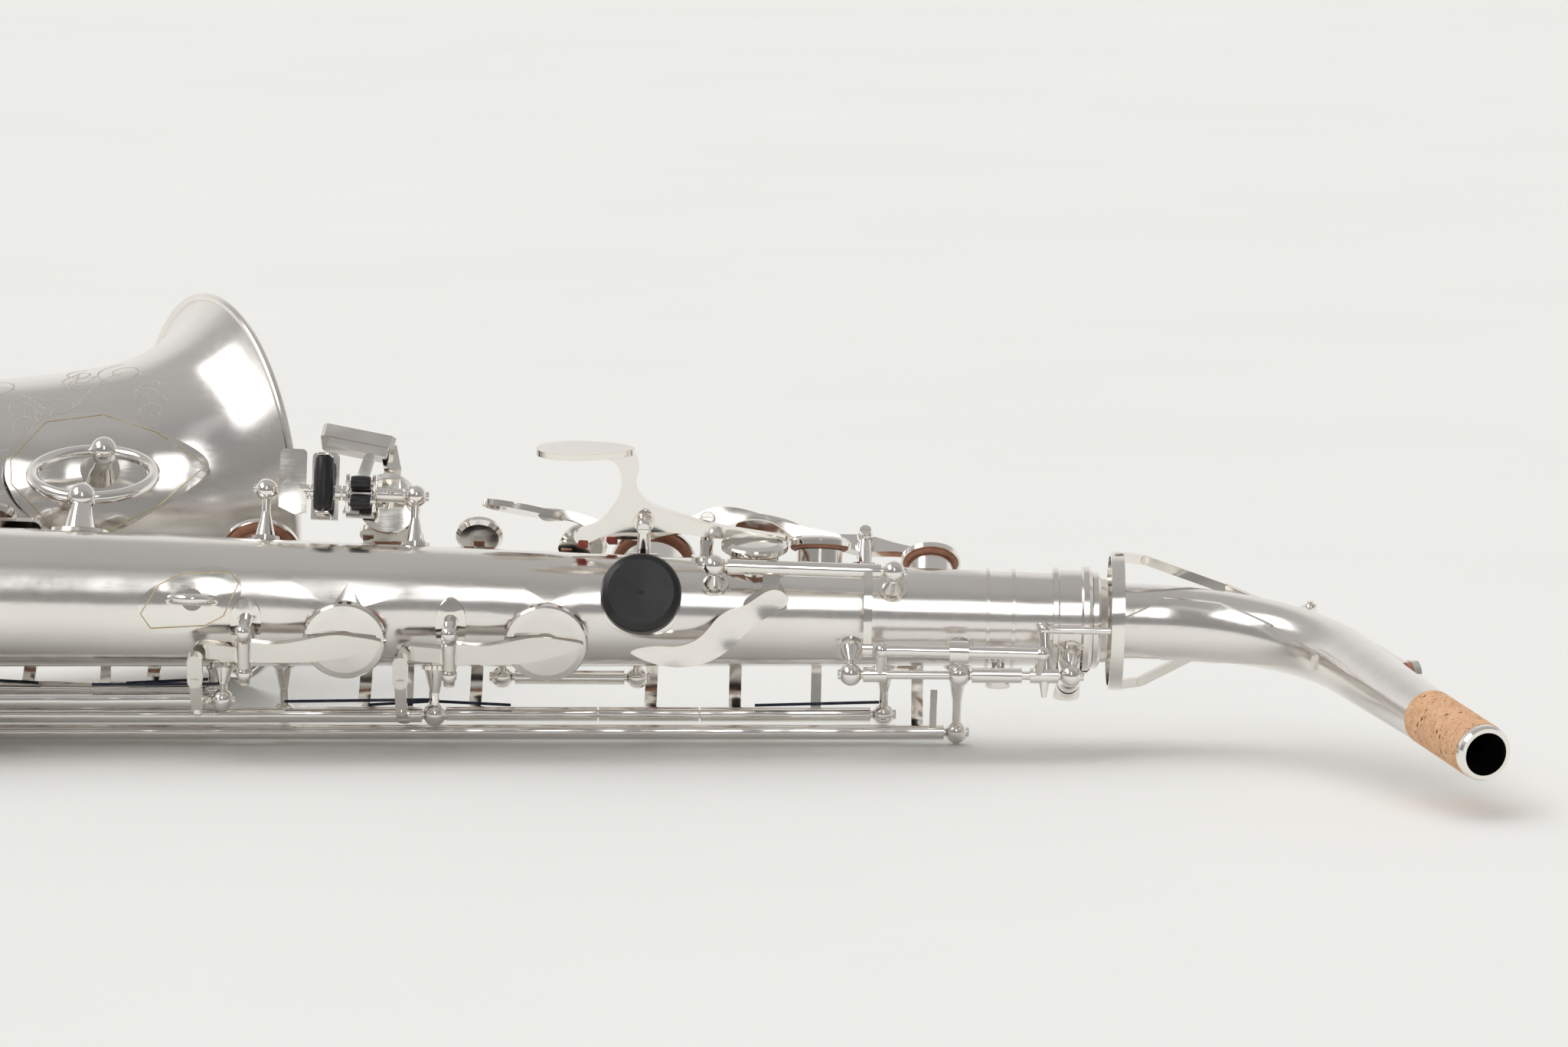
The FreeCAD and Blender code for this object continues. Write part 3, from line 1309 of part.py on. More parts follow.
def neck_tip_ring():
    """Silver ring at the end of the neck."""
    end, way, outside = neck_spot(NECK_LENGTH)
    centre = end - way * 2.15
    profile = [(6.0, 0), (CORK_RADIUS - 0.15, 0), (CORK_RADIUS - 0.15, 1.6), (CORK_RADIUS - 0.7, 2.6), (6.0, 2.6)]
    ring = turned(profile, centre, way)
    return ring.cut(neck_loft(0.0)).cut(rod(end - way * 9, end + way * 9, TIP_BORE))


def saddle_spot(height, aside=0.0):
    spot, way, outside = neck_spot(SADDLE_AT)
    return spot + outside * (neck_radius(SADDLE_AT) + height) + PLANE * aside


def neck_fittings():
    """Octave pip and the saddle that carries the neck's octave key."""
    spot, way, outside = neck_spot(PIP_AT)
    wall = neck_radius(PIP_AT)
    pip = pipe(spot + outside * (wall - 0.9), spot + outside * (wall + 2.6), 1.58, 0.8)
    screw = neck_pivot_rod()
    cheeks = []
    for aside in (-5.7, 5.7):
        foot = saddle_spot(-2.0, aside * 0.9)
        top = saddle_spot(4.6, aside)
        cheeks.append(join(bar(foot, top, 4.0, 1.8, neck_spot(SADDLE_AT)[1]), ball(top, 1.9)))
    pad = rod(saddle_spot(-2.0), saddle_spot(0.5), 6.6)
    base = join(pad, *cheeks).cut(neck_loft(0.0)).cut(screw)
    main = sorted(base.Solids, key=lambda item: -item.Volume)[0]
    return Part.Compound([pip, main, screw])


def neck_pivot_rod():
    return rod(saddle_spot(4.6, -7.9), saddle_spot(4.6, 7.9), 0.9)


RING_X = 7.2
RING_INSIDE = 19.0


def neck_octave_key():
    """Ring round the tenon, two arms to the saddle, and the arm to the pip."""
    ring = pipe(V(RING_X - 1.9, 0, 0), V(RING_X + 1.9, 0, 0), RING_INSIDE + 1.4, RING_INSIDE)
    barrel = pipe(saddle_spot(4.6, -3.2), saddle_spot(4.6, 3.2), 2.2, 0.9 + RUNNING)
    block = saddle_spot(4.6)
    arms = []
    for sign in (-1, 1):
        start = V(RING_X, 0, 0) + PLANE * sign * (RING_INSIDE + 0.6)
        corner = V(RING_X + 8, 0, 0) + PLANE * sign * (RING_INSIDE - 0.4) - SIDE * 1.0
        waist_spot, way, outside = neck_spot(36.0)
        waist = waist_spot + outside * (neck_radius(36) * 0.9 + 3.9) + PLANE * sign * 7.8
        arms.append(flat_chain([start, corner, waist, block + PLANE * sign * 1.2], 2.7, 1.6))
    spot, way, outside = neck_spot(PIP_AT)
    top = spot + outside * (neck_radius(PIP_AT) + 4.9)
    middle, way_m, outside_m = neck_spot((SADDLE_AT + PIP_AT) / 2)
    rise = middle + outside_m * (neck_radius(80) + 4.6)
    tail = flat_chain([block, rise, top], 3.2, 1.8)
    head = rod(spot + outside * (neck_radius(PIP_AT) + 3.7), spot + outside * (neck_radius(PIP_AT) + 6.0), 3.9)
    bore = rod(saddle_spot(4.6, -12), saddle_spot(4.6, 12), 0.9 + RUNNING)
    return join(ring, barrel, head, *(arms + [tail])).cut(bore)


def flat_chain(points, wide, thickness):
    """Flat bars end to end, lying across the neck's plane."""
    pieces = []
    for a, b in zip(points, points[1:]):
        pieces.append(bar(a, b, wide, thickness, PLANE))
    return join(*pieces)


def neck_octave_pad():
    spot, way, outside = neck_spot(PIP_AT)
    wall = neck_radius(PIP_AT)
    return rod(spot + outside * (wall + 2.65), spot + outside * (wall + 3.7), 3.3)


# ---- placing and writing ----
NODES = {
    "body_tube": body_tube,
    "octave_pip": octave_pip,
    "neck_receiver": neck_receiver,
    "neck_screw": neck_screw,
    "bow": bow,
    "ferrules": ferrules,
    "bell": bell,
    "bell_brace": bell_brace,
    "strap_ring": strap_ring,
    "thumb_rest_plate": thumb_rest_plate,
    "thumb_rest_button": thumb_rest_button,
    "thumb_hook": thumb_hook,
    "thumb_hook_screw": thumb_hook_screw,
    "upper_posts": upper_posts,
    "lower_posts": lower_posts,
    "bell_posts": bell_posts,
    "low_key_guards": low_key_guards,
    "bell_key_guard": bell_key_guard,
    "guard_felts": guard_felts,
    "hinge_rods": hinge_rods,
    "pivot_screws": pivot_screws,
    "needle_springs": needle_springs,
    "neck_tube": neck_tube,
    "neck_brace": neck_brace,
    "neck_cork": neck_cork,
    "neck_tip_ring": neck_tip_ring,
    "neck_fittings": neck_fittings,
    "neck_octave_key": neck_octave_key,
    "neck_octave_pad": neck_octave_pad,
    "octave_thumb_lever": octave_thumb,
    "octave_rocker": octave_rocker,
    "body_octave_key": body_octave_key,
    "palm_d_key": palm_d,
    "palm_eb_key": palm_eb,
    "palm_f_key": palm_f,
    "high_e_key": high_e,
    "side_c_lever": side_c_lever,
    "side_c_cup": side_c_cup,
    "side_bb_lever": side_bb_lever,
    "side_bb_cup": side_bb_cup,
    "key_c": key_c,
    "key_b": key_b,
    "key_bis": key_bis,
    "key_a": key_a,
    "key_g": key_g,
    "gsharp_cup": gsharp_cup,
    "key_fsharp": key_fsharp,
    "key_f": key_f,
    "key_e": key_e,
    "key_d": key_d,
    "low_eb_key": low_eb,
    "low_c_key": low_c,
    "low_b_cup": low_b_cup,
    "low_bb_cup": low_bb_cup,
    "csharp_cup": csharp_cup,
}
NODES["gsharp_touch"] = gsharp_touch
NODES["csharp_touch"] = csharp_touch
NODES["low_b_touch"] = low_b_touch
NODES["low_bb_touch"] = low_bb_touch


def resting_place():
    """Tips the horn so that its lowest rod is level, then lifts it on to z = 0."""
    turn = FreeCAD.Rotation(V(0, 1, 0), math.degrees(TIP_ANGLE))
    lowest = turn.multVec(line("side_high_e", -200)).z - BALL_RADIUS
    return FreeCAD.Placement(V(0, 0, -lowest), turn)


def build():
    place = resting_place()
    shapes = {}
    for name, maker in NODES.items():
        shape = maker()
        shape = Part.Compound([solid.copy() for solid in shape.Solids])
        shape = shape.transformed(place.toMatrix(), True)
        shapes[name] = shape
    box = FreeCAD.BoundBox()
    for shape in shapes.values():
        box.add(shape.optimalBoundingBox(False, False))
    centre = V(-(box.XMin + box.XMax) / 2, -(box.YMin + box.YMax) / 2, 0)
    for shape in shapes.values():
        shape.translate(centre)
    return shapes, place, centre


def main():
    os.makedirs("parts", exist_ok=True)
    shapes, place, centre = build()
    for name, shape in shapes.items():
        solids = shape.Solids
        whole = solids[0] if len(solids) == 1 else shape
        whole.exportStep("parts/" + name + ".step")


if __name__ == "__main__":
    main()
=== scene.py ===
import json
import math

import bmesh
import bpy
from mathutils import Matrix, Vector
from mathutils.bvhtree import BVHTree
from mathutils.noise import fractal


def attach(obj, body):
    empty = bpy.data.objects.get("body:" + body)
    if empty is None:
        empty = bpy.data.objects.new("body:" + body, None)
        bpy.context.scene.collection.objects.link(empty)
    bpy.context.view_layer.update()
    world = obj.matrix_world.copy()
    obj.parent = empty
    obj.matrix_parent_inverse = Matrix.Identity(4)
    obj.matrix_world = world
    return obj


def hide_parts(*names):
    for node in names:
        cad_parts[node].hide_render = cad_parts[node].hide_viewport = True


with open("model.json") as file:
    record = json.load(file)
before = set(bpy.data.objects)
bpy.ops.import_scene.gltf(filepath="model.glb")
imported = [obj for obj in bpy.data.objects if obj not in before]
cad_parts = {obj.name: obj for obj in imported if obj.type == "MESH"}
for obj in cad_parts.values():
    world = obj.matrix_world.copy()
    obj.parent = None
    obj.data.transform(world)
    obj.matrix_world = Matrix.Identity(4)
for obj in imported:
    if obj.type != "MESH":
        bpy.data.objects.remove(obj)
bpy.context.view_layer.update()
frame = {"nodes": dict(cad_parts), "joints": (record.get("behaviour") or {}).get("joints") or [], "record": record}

# The looks of an alto saxophone that lies on its side. Lengths are in millimetres until they
# meet MM.
# Places on a tube are (x along it, degrees about it from the player's side, height above its
# wall).
MM = 0.001
JOINTS = {joint["name"]: joint for joint in frame["joints"]}
ORIGIN = Vector(JOINTS["neck_swivel"]["pos_m"])
ALONG = Vector(JOINTS["neck_swivel"]["axis"]).normalized()
UP = Vector((-ALONG.z, 0, ALONG.x))
ASIDE_FLAT = Vector((0, 1, 0))

# ---- the horn's own dimensions ----
TOP_RADIUS = 13.35
TAPER = 0.022
BODY_LENGTH = 470.0
BOW_RADIUS = 38.3
BOW_END_RADIUS = 33.5
BELL_LEAN = 10.0
RIM_LEAN = 28.0
BELL_LENGTH = 218.0
BELL_GROWTH = 7.0
RIM_DROP = 60.8           # how far the rim reaches below the bell's own axis
BELL_STEPS = 20
BELL_CROWDING = 1.6       # power that crowds the bell's sections towards its rim
BELL_CURL = 3             # power by which its lean grows towards the rim
RIM_TILT = 0.9994         # share of it that is left, as the rim leans a little
CHIMNEY = 3.6
PAD_STAND = 1.1
HOLE_SHARE = 0.74
LOW_GAP = 4.5
SHUT_SHARE = 0.94         # a stack key's joint stops this far down to its tone hole
CUP_WALL = 0.6
NECK_STRAIGHT = 18.0
NECK_BEND = 58.0
NECK_TURN = math.radians(70.0)
NECK_REACH = 92.0
CORK_LENGTH = 34.0
CORK_RADIUS = 8.0


def horn(x, y, z):
    """A point of the horn's own frame, whose X axis is the body's, in the row frame."""
    return ORIGIN + (ALONG * x + ASIDE_FLAT * y + UP * z) * MM


class Tube:
    """A conical tube of the horn that keys stand on."""

    def __init__(self, origin, along, radius, growth):
        self.origin = origin
        self.along = along.normalized()
        zero = Vector((0, -1, 0))
        self.zero = (zero - self.along * zero.dot(self.along)).normalized()
        self.quarter = self.zero.cross(self.along).normalized()
        self.radius = radius
        self.growth = growth

    def wall(self, x):
        return self.radius - self.growth * x

    def out(self, angle):
        turn = math.radians(angle)
        return self.zero * math.cos(turn) + self.quarter * math.sin(turn)

    def at(self, x, angle, height):
        return self.origin + (self.along * x + self.out(angle) * (self.wall(x) + height)) * MM


BODY = Tube(ORIGIN, ALONG, TOP_RADIUS, TAPER)


def bell_rise():
    """How far the bell leans up from level, so that its rim touches the table."""
    lift = ORIGIN.z / MM
    lean = math.radians(BELL_LEAN)
    more = math.radians(RIM_LEAN - BELL_LEAN)
    x = -BODY_LENGTH - BOW_RADIUS * math.sin(lean)
    s = BOW_RADIUS * (1 + math.cos(lean))
    shares = [1 - (1 - index / BELL_STEPS) ** BELL_CROWDING for index in range(BELL_STEPS + 1)]
    for before, after in zip(shares, shares[1:]):
        angle = lean + more * ((before + after) / 2) ** BELL_CURL
        x += (after - before) * BELL_LENGTH * math.cos(angle)
        s += (after - before) * BELL_LENGTH * math.sin(angle)
    height = (lift + x * ALONG.z) / ALONG.x
    return math.asin((RIM_DROP * RIM_TILT - height) / s)


RISE = bell_rise()
ASIDE = (ASIDE_FLAT * math.cos(RISE) + UP * math.sin(RISE)).normalized()
LEAN = math.radians(BELL_LEAN)
BELL_START = ORIGIN + ALONG * (-BODY_LENGTH - BOW_RADIUS * math.sin(LEAN)) * MM
BELL_START += ASIDE * BOW_RADIUS * (1 + math.cos(LEAN)) * MM
BELL = Tube(
    BELL_START, ALONG * math.cos(LEAN) + ASIDE * math.sin(LEAN), BOW_END_RADIUS,
    -BELL_GROWTH / BELL_LENGTH,
)


BOW_HOLE_SHARE = 4 / 12   # how far along the bow its tone hole is


def bow_tube():
    """The bow by its tone hole, as a short straight tube; angle 0 is towards the table."""
    turn = (math.pi - LEAN) * BOW_HOLE_SHARE
    centre = ORIGIN + ALONG * (-BODY_LENGTH - BOW_RADIUS * math.sin(turn)) * MM
    centre += ASIDE * BOW_RADIUS * (1 - math.cos(turn)) * MM
    way = -ALONG * math.cos(turn) + ASIDE * math.sin(turn)
    first = TOP_RADIUS + TAPER * BODY_LENGTH
    tube = Tube(centre, way, first + (BOW_END_RADIUS - first) * BOW_HOLE_SHARE, 0)
    tube.zero = (-UP + way * UP.dot(way)).normalized()
    tube.quarter = tube.zero.cross(tube.along).normalized()
    return tube


BOW = bow_tube()


# ---- pad cups: node, body, tube, x, angle, cup radius, state ----
STACK = -183.0
CUPS = (
    ("key_c", "key_c", BODY, -104.0, -170.0, 9.5, "swung"),
    ("key_b", "key_b", BODY, -129.0, -214.0, 13.0, "swung"),
    ("key_bis", "key_bis", BODY, -155.0, -180.0, 9.0, "swung"),
    ("key_a", "key_a", BODY, -181.0, STACK, 13.3, "swung"),
    ("key_g", "key_g", BODY, -214.0, STACK, 14.3, "swung"),
    ("key_fsharp", "key_fsharp", BODY, -277.0, STACK, 15.0, "swung"),
    ("key_f", "key_f", BODY, -314.0, STACK, 16.3, "swung"),
    ("key_e", "key_e", BODY, -354.0, STACK, 16.8, "swung"),
    ("key_d", "key_d", BODY, -397.0, STACK, 17.3, "swung"),
    ("gsharp_cup", "gsharp_cup", BODY, -245.0, -212.0, 11.5, "shut"),
    ("low_eb_key", "low_eb", BODY, -440.0, -62.0, 16.5, "shut"),
    ("palm_d_key", "palm_d", BODY, -99.0, 78.0, 9.8, "shut"),
    ("palm_eb_key", "palm_eb", BODY, -80.0, 104.0, 9.2, "shut"),
    ("palm_f_key", "palm_f", BODY, -47.0, 132.0, 8.8, "shut"),
    ("high_e_key", "high_e", BODY, -54.0, -150.0, 9.0, "shut"),
    ("side_c_cup", "side_c_cup", BODY, -159.0, -18.0, 12.2, "shut"),
    ("side_bb_cup", "side_bb_cup", BODY, -217.5, -18.0, 12.1, "shut"),
    ("low_c_key", "low_c", BOW, 0.0, 0.0, 18.0, "lifted"),
    ("low_b_cup", "low_b_cup", BELL, 52.0, -92.0, 19.0, "lifted"),
    ("low_bb_cup", "low_bb_cup", BELL, 101.0, -92.0, 19.5, "lifted"),
    ("csharp_cup", "csharp_cup", BELL, 32.0, 58.0, 15.0, "shut"),
)
# finger pearls on the stack keys, with the key shut: key: (angle, x, height)
PEARLS = {
    "key_b": (-198.0, -118.0, 8.8),
    "key_bis": (-219.0, -150.0, 8.6),
    "key_a": (-225.0, -181.0, 8.8),
    "key_g": (-225.5, -208.0, 9.2),
    "key_f": (-220.0, -325.0, 8.6),
    "key_e": (-230.0, -352.0, 8.8),
    "key_d": (-228.0, -392.0, 8.8),
}
# rod lines on the body: angle, height, x of the two end posts
LINES = {
    "side_high_e": (-97.0, 20.8, -38.5, -396.0),
    "side_c": (-88.0, 14.5, -192.0, -386.0),
    "side_bb": (-75.0, 10.0, -254.0, -376.0),
    "upper_stack": (-109.0, 18.0, -60.0, -237.0),
    "bis": (-126.0, 11.3, -133.0, -173.0),
    "lower_stack": (-120.0, 14.0, -258.5, -419.0),
    "gsharp": (-181.0, 9.5, -232.0, -258.0),
    "table": (108.0, 15.0, -199.0, -243.0),
    "octave": (-33.0, 11.3, -6.3, -70.3),
    "thumb": (41.0, 8.9, -58.4, -110.6),
    "low_eb": (-112.0, 9.0, -424.5, -460.0),
}
BELL_LINES = {
    "bell": (-136.0, 9.5, 27.0, 127.0),
    "csharp": (92.0, 9.5, 11.0, 53.0),
}
POST_BALL = 3.3


def swing(key):
    """Turns a shut stack key's place to where it stands open at rest."""
    joint = JOINTS[key + "_press"]
    centre = Vector(joint["pos_m"])
    opening = -math.radians(joint["range_deg"][1] / SHUT_SHARE)
    turn = Matrix.Rotation(opening, 4, Vector(joint["axis"]))
    return Matrix.Translation(centre) @ turn @ Matrix.Translation(-centre)


# ---- materials ----
def node_material(name):
    material = bpy.data.materials.new(name)
    material.use_nodes = True
    tree = material.node_tree
    shader = tree.nodes["Principled BSDF"]
    where = tree.nodes.new("ShaderNodeTexCoord")
    return material, tree, shader, where.outputs["Object"]


def stretched(tree, where, scale, turn=(0, 0, 0)):
    mapping = tree.nodes.new("ShaderNodeMapping")
    mapping.inputs["Scale"].default_value = scale
    mapping.inputs["Rotation"].default_value = turn
    tree.links.new(where, mapping.inputs["Vector"])
    return mapping.outputs["Vector"]


def noise(tree, where, scale, detail=4.0, roughness=0.6):
    texture = tree.nodes.new("ShaderNodeTexNoise")
    texture.inputs["Scale"].default_value = scale
    texture.inputs["Detail"].default_value = detail
    texture.inputs["Roughness"].default_value = roughness
    tree.links.new(where, texture.inputs["Vector"])
    return texture.outputs["Fac"]


def spread(tree, value, low, high, to_low=0.0, to_high=1.0):
    """Maps a value's span on to another, clamped."""
    ranged = tree.nodes.new("ShaderNodeMapRange")
    sockets = ("From Min", "From Max", "To Min", "To Max")
    for socket, number in zip(sockets, (low, high, to_low, to_high)):
        ranged.inputs[socket].default_value = number
    tree.links.new(value, ranged.inputs["Value"])
    return ranged.outputs["Result"]


def mixed(tree, share, first, second):
    """A colour between two, each a colour or another node's output."""
    mix = tree.nodes.new("ShaderNodeMix")
    mix.data_type = "RGBA"
    tree.links.new(share, mix.inputs["Factor"])
    for socket, colour in ((mix.inputs[6], first), (mix.inputs[7], second)):
        if isinstance(colour, bpy.types.NodeSocket):
            tree.links.new(colour, socket)
        else:
            socket.default_value = (*colour, 1)
    return mix.outputs[2]


def maths(tree, operation, first, second):
    node = tree.nodes.new("ShaderNodeMath")
    node.operation = operation
    for socket, value in zip(node.inputs, (first, second)):
        if isinstance(value, bpy.types.NodeSocket):
            tree.links.new(value, socket)
        else:
            socket.default_value = value
    return node.outputs[0]


def times(tree, first, second):
    return maths(tree, "MULTIPLY", first, second)


def bumped(tree, shader, height, strength, distance, under=None):
    bump = tree.nodes.new("ShaderNodeBump")
    if under is not None:
        tree.links.new(under, bump.inputs["Normal"])
    bump.inputs["Strength"].default_value = strength
    bump.inputs["Distance"].default_value = distance * MM
    tree.links.new(height, bump.inputs["Height"])
    tree.links.new(bump.outputs["Normal"], shader.inputs["Normal"])


def edge_mask(tree, radius, low, high):
    """1 on sharp edges, where plating has worn through, and 0 on flat faces."""
    bevel = tree.nodes.new("ShaderNodeBevel")
    bevel.samples = 4
    bevel.inputs["Radius"].default_value = radius * MM
    geometry = tree.nodes.new("ShaderNodeNewGeometry")
    dot = tree.nodes.new("ShaderNodeVectorMath")
    dot.operation = "DOT_PRODUCT"
    tree.links.new(bevel.outputs["Normal"], dot.inputs[0])
    tree.links.new(geometry.outputs["Normal"], dot.inputs[1])
    return spread(tree, dot.outputs["Value"], high, low)


SILVER = (0.92, 0.895, 0.855)
LAVENDER = (0.70, 0.66, 0.68)     # tarnish
SPOT = (0.50, 0.44, 0.40)         # darker specks in the tarnish
GOLD = (0.83, 0.62, 0.30)         # brass under worn plating


def hand_finish(tree, where, wave):
    """Normals of a surface that was buffed by hand and isn't quite flat."""
    bump = tree.nodes.new("ShaderNodeBump")
    bump.inputs["Strength"].default_value = 1.0
    bump.inputs["Distance"].default_value = wave * MM
    tree.links.new(noise(tree, where, 55.0, 1.0), bump.inputs["Height"])
    return bump.outputs["Normal"]


def silver(name, rough_low, rough_high, tarnish, edge_wear, scratch, wave):
    """Silver plate: clouded by polish, finely scratched along the horn, brassy on worn edges."""
    material, tree, shader, where = node_material(name)
    cloud = noise(tree, stretched(tree, where, (0.6, 1.6, 1.6)), 14.0, 6.0)
    hairs = stretched(tree, where, (0.06, 1.0, 1.0), (0.02, 0.05, 0.03))
    fine = noise(tree, hairs, 2600.0, 3.0, 0.7)
    swirl = noise(tree, where, 420.0, 5.0, 0.65)
    colour = mixed(tree, spread(tree, cloud, 0.42, 0.72, 0.0, tarnish), SILVER, LAVENDER)
    speck = spread(tree, noise(tree, where, 900.0, 2.0), 0.70, 0.76, 0.0, 0.35 * tarnish)
    colour = mixed(tree, speck, colour, SPOT)
    if edge_wear:
        patchy = spread(tree, noise(tree, where, 130.0, 4.0), 0.38, 0.62, 0.15, 1.0)
        wear = times(tree, edge_mask(tree, 0.35, 0.86, 0.995), patchy)
        colour = mixed(tree, times(tree, wear, edge_wear), colour, GOLD)
    tree.links.new(colour, shader.inputs["Base Color"])
    shader.inputs["Metallic"].default_value = 1.0
    blend = times(tree, maths(tree, "ADD", swirl, fine), 0.5)
    rough = spread(tree, blend, 0.35, 0.65, rough_low, rough_high)
    tree.links.new(rough, shader.inputs["Roughness"])
    relief = maths(tree, "ADD", fine, times(tree, swirl, 0.5))
    bumped(tree, shader, relief, scratch, 0.02, hand_finish(tree, where, wave))
    return material


def plain(name, colours, roughness, scale, grain, depth, metallic=0.0, coat=0.0):
    """A finish with two shades mixed by noise and a fine grain in roughness and relief."""
    material, tree, shader, where = node_material(name)
    cloud = spread(tree, noise(tree, where, scale, 5.0), 0.35, 0.65)
    tree.links.new(mixed(tree, cloud, *colours), shader.inputs["Base Color"])
    fine = noise(tree, where, grain, 4.0)
    rough = spread(tree, fine, 0.3, 0.7, roughness * 0.85, roughness * 1.15)
    tree.links.new(rough, shader.inputs["Roughness"])
    shader.inputs["Metallic"].default_value = metallic
    shader.inputs["Coat Weight"].default_value = coat
    shader.inputs["Coat Roughness"].default_value = 0.08
    bumped(tree, shader, fine, 0.4, depth)
    return material


def cork_material():
    """Tan cork with dark pores of several sizes and a fine grain."""
    material, tree, shader, where = node_material("cork")
    cloud = spread(tree, noise(tree, where, 260.0, 5.0), 0.35, 0.7)
    grain = noise(tree, where, 1500.0, 3.0)
    base = mixed(tree, cloud, (0.76, 0.46, 0.27), (0.60, 0.32, 0.17))
    base = mixed(tree, spread(tree, grain, 0.52, 0.68), base, (0.82, 0.56, 0.36))
    pores = None
    for scale, full, none in ((420.0, 0.16, 0.304), (950.0, 0.16, 0.32)):
        cells = tree.nodes.new("ShaderNodeTexVoronoi")
        cells.inputs["Scale"].default_value = scale
        cells.inputs["Randomness"].default_value = 1.0
        grown = stretched(tree, where, (1.0, 1.4, 0.8), (0.3, 0.6, 0.2))
        tree.links.new(grown, cells.inputs["Vector"])
        pick = spread(tree, cells.outputs["Color"], 0.62, 0.64)
        spot = times(tree, spread(tree, cells.outputs["Distance"], none, full), pick)
        pores = spot if pores is None else maths(tree, "MAXIMUM", pores, spot)
    tree.links.new(mixed(tree, pores, base, (0.13, 0.055, 0.025)), shader.inputs["Base Color"])
    shader.inputs["Roughness"].default_value = 0.85
    relief = maths(tree, "SUBTRACT", grain, pores)
    bumped(tree, shader, relief, 0.7, 0.12)
    return material


# silver: least and most roughness, tarnish, edge wear, scratches, hand-made unevenness
SILVERS = {
    "silver_body": (0.13, 0.22, 0.45, 0.5, 0.03, 0.2),
    "silver_key": (0.07, 0.14, 0.2, 0.9, 0.02, 1.0),
    "steel": (0.16, 0.28, 0.4, 0.0, 0.05, 0.2),
}
# plain: two shades, roughness, scale of the clouds and of the grain, its depth, metallic, coat
PLAINS = {
    "black_plastic": (((0.012, 0.012, 0.013), (0.02, 0.02, 0.021)), 0.32, 120.0, 2500.0, 0.015),
    "blued_steel": (((0.02, 0.025, 0.05), (0.05, 0.05, 0.07)), 0.3, 300.0, 3000.0, 0.01, 0.9),
    "felt": (((0.42, 0.10, 0.07), (0.28, 0.06, 0.05)), 0.95, 900.0, 6000.0, 0.2),
    "leather_pad": (((0.50, 0.24, 0.15), (0.38, 0.16, 0.10)), 0.55, 300.0, 3500.0, 0.05),
    "engraved": (((0.93, 0.91, 0.86), (0.78, 0.74, 0.66)), 0.55, 300.0, 2500.0, 0.01, 0.35),
    "worn_brass": (((0.62, 0.47, 0.20), (0.82, 0.74, 0.55)), 0.3, 260.0, 2500.0, 0.01, 0.85),
    "pearl": (((0.88, 0.87, 0.84), (0.74, 0.76, 0.78)), 0.22, 240.0, 1500.0, 0.01, 0.0, 0.6),
}
MATERIALS = {"cork": cork_material()}
MATERIALS.update((name, silver(name, *values)) for name, values in SILVERS.items())
MATERIALS.update((name, plain(name, *values)) for name, values in PLAINS.items())


# ---- making pieces ----
def placed(name, data):
    """A new object in the scene."""
    thing = bpy.data.objects.new(name, data)
    bpy.context.scene.collection.objects.link(thing)
    return thing


def piece(name, mesh, body, material, sharp=38.0):
    """Turns a bmesh in the row frame into an object with a finish, riding on a body."""
    bmesh.ops.recalc_face_normals(mesh, faces=mesh.faces)
    for edge in mesh.edges:
        edge.smooth = edge.calc_face_angle(0.0) < math.radians(sharp)
    for face in mesh.faces:
        face.smooth = True
    data = bpy.data.meshes.new(name)
    mesh.to_mesh(data)
    mesh.free()
    data.materials.append(MATERIALS[material])
    thing = placed(name, data)
    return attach(thing, body)


def facing(centre, axis):
    return Matrix.Translation(centre) @ axis.to_track_quat("Z", "Y").to_matrix().to_4x4()


def turn_on(mesh, profile, place, segments=48):
    """Adds a solid turned from (radius, height) pairs that start and end on the axis."""
    rings = []
    for radius, height in profile:
        count = segments if radius > 1e-6 else 1
        ring = []
        for index in range(count):
            turn = math.tau * index / count
            spot = Vector((radius * math.cos(turn), radius * math.sin(turn), height)) * MM
            ring.append(mesh.verts.new(place @ spot))
        rings.append(ring)
    for lower, upper in zip(rings, rings[1:]):
        for index in range(segments):
            after = (index + 1) % segments
            corners = [
                lower[index % len(lower)], lower[after % len(lower)],
                upper[after % len(upper)], upper[index % len(upper)],
            ]
            corners = list(dict.fromkeys(corners))
            if len(corners) > 2:
                mesh.faces.new(corners)


def block_on(mesh, place, size, round_by=0.25):
    """Adds a bevelled block of size (x, y, z) centred on a place."""
    scale = Matrix.Diagonal((*[side * MM for side in size], 1))
    made = bmesh.ops.create_cube(mesh, size=1.0, matrix=place @ scale)
    edges = list({edge for vert in made["verts"] for edge in vert.link_edges})
    bmesh.ops.bevel(
        mesh, geom=edges, offset=round_by * MM, segments=2, affect="EDGES", profile=0.5)


def rod_on(mesh, start, end, radius, segments=16):
    length = (end - start).length / MM
    profile = [(0, 0), (radius, 0), (radius, length), (0, length)]
    turn_on(mesh, profile, facing(start, end - start), segments)


# ---- pads and pearls ----
LOW_PAD_PROUD = 0.12      # share of the others' depth by which a low key's pad leaves its cup
PAD_FACE = 0.97           # how far the middle of a pad stands out of its cup
PEARL_PROFILE = (
    (0, 1.25), (6.15, 1.25), (6.2, 2.1), (5.95, 2.7), (5.3, 3.05), (4.4, 3.1), (3.0, 2.85),
    (1.5, 2.68), (0, 2.62),
)


def cup_place(node, tube, x, angle, state):
    """Centre of a pad cup's open edge and the way it faces out of the tone hole."""
    height = CHIMNEY + PAD_STAND + (LOW_GAP if state == "lifted" else 0)
    place = facing(tube.at(x, angle, height), tube.out(angle))
    return swing(node) @ place if state == "swung" else place


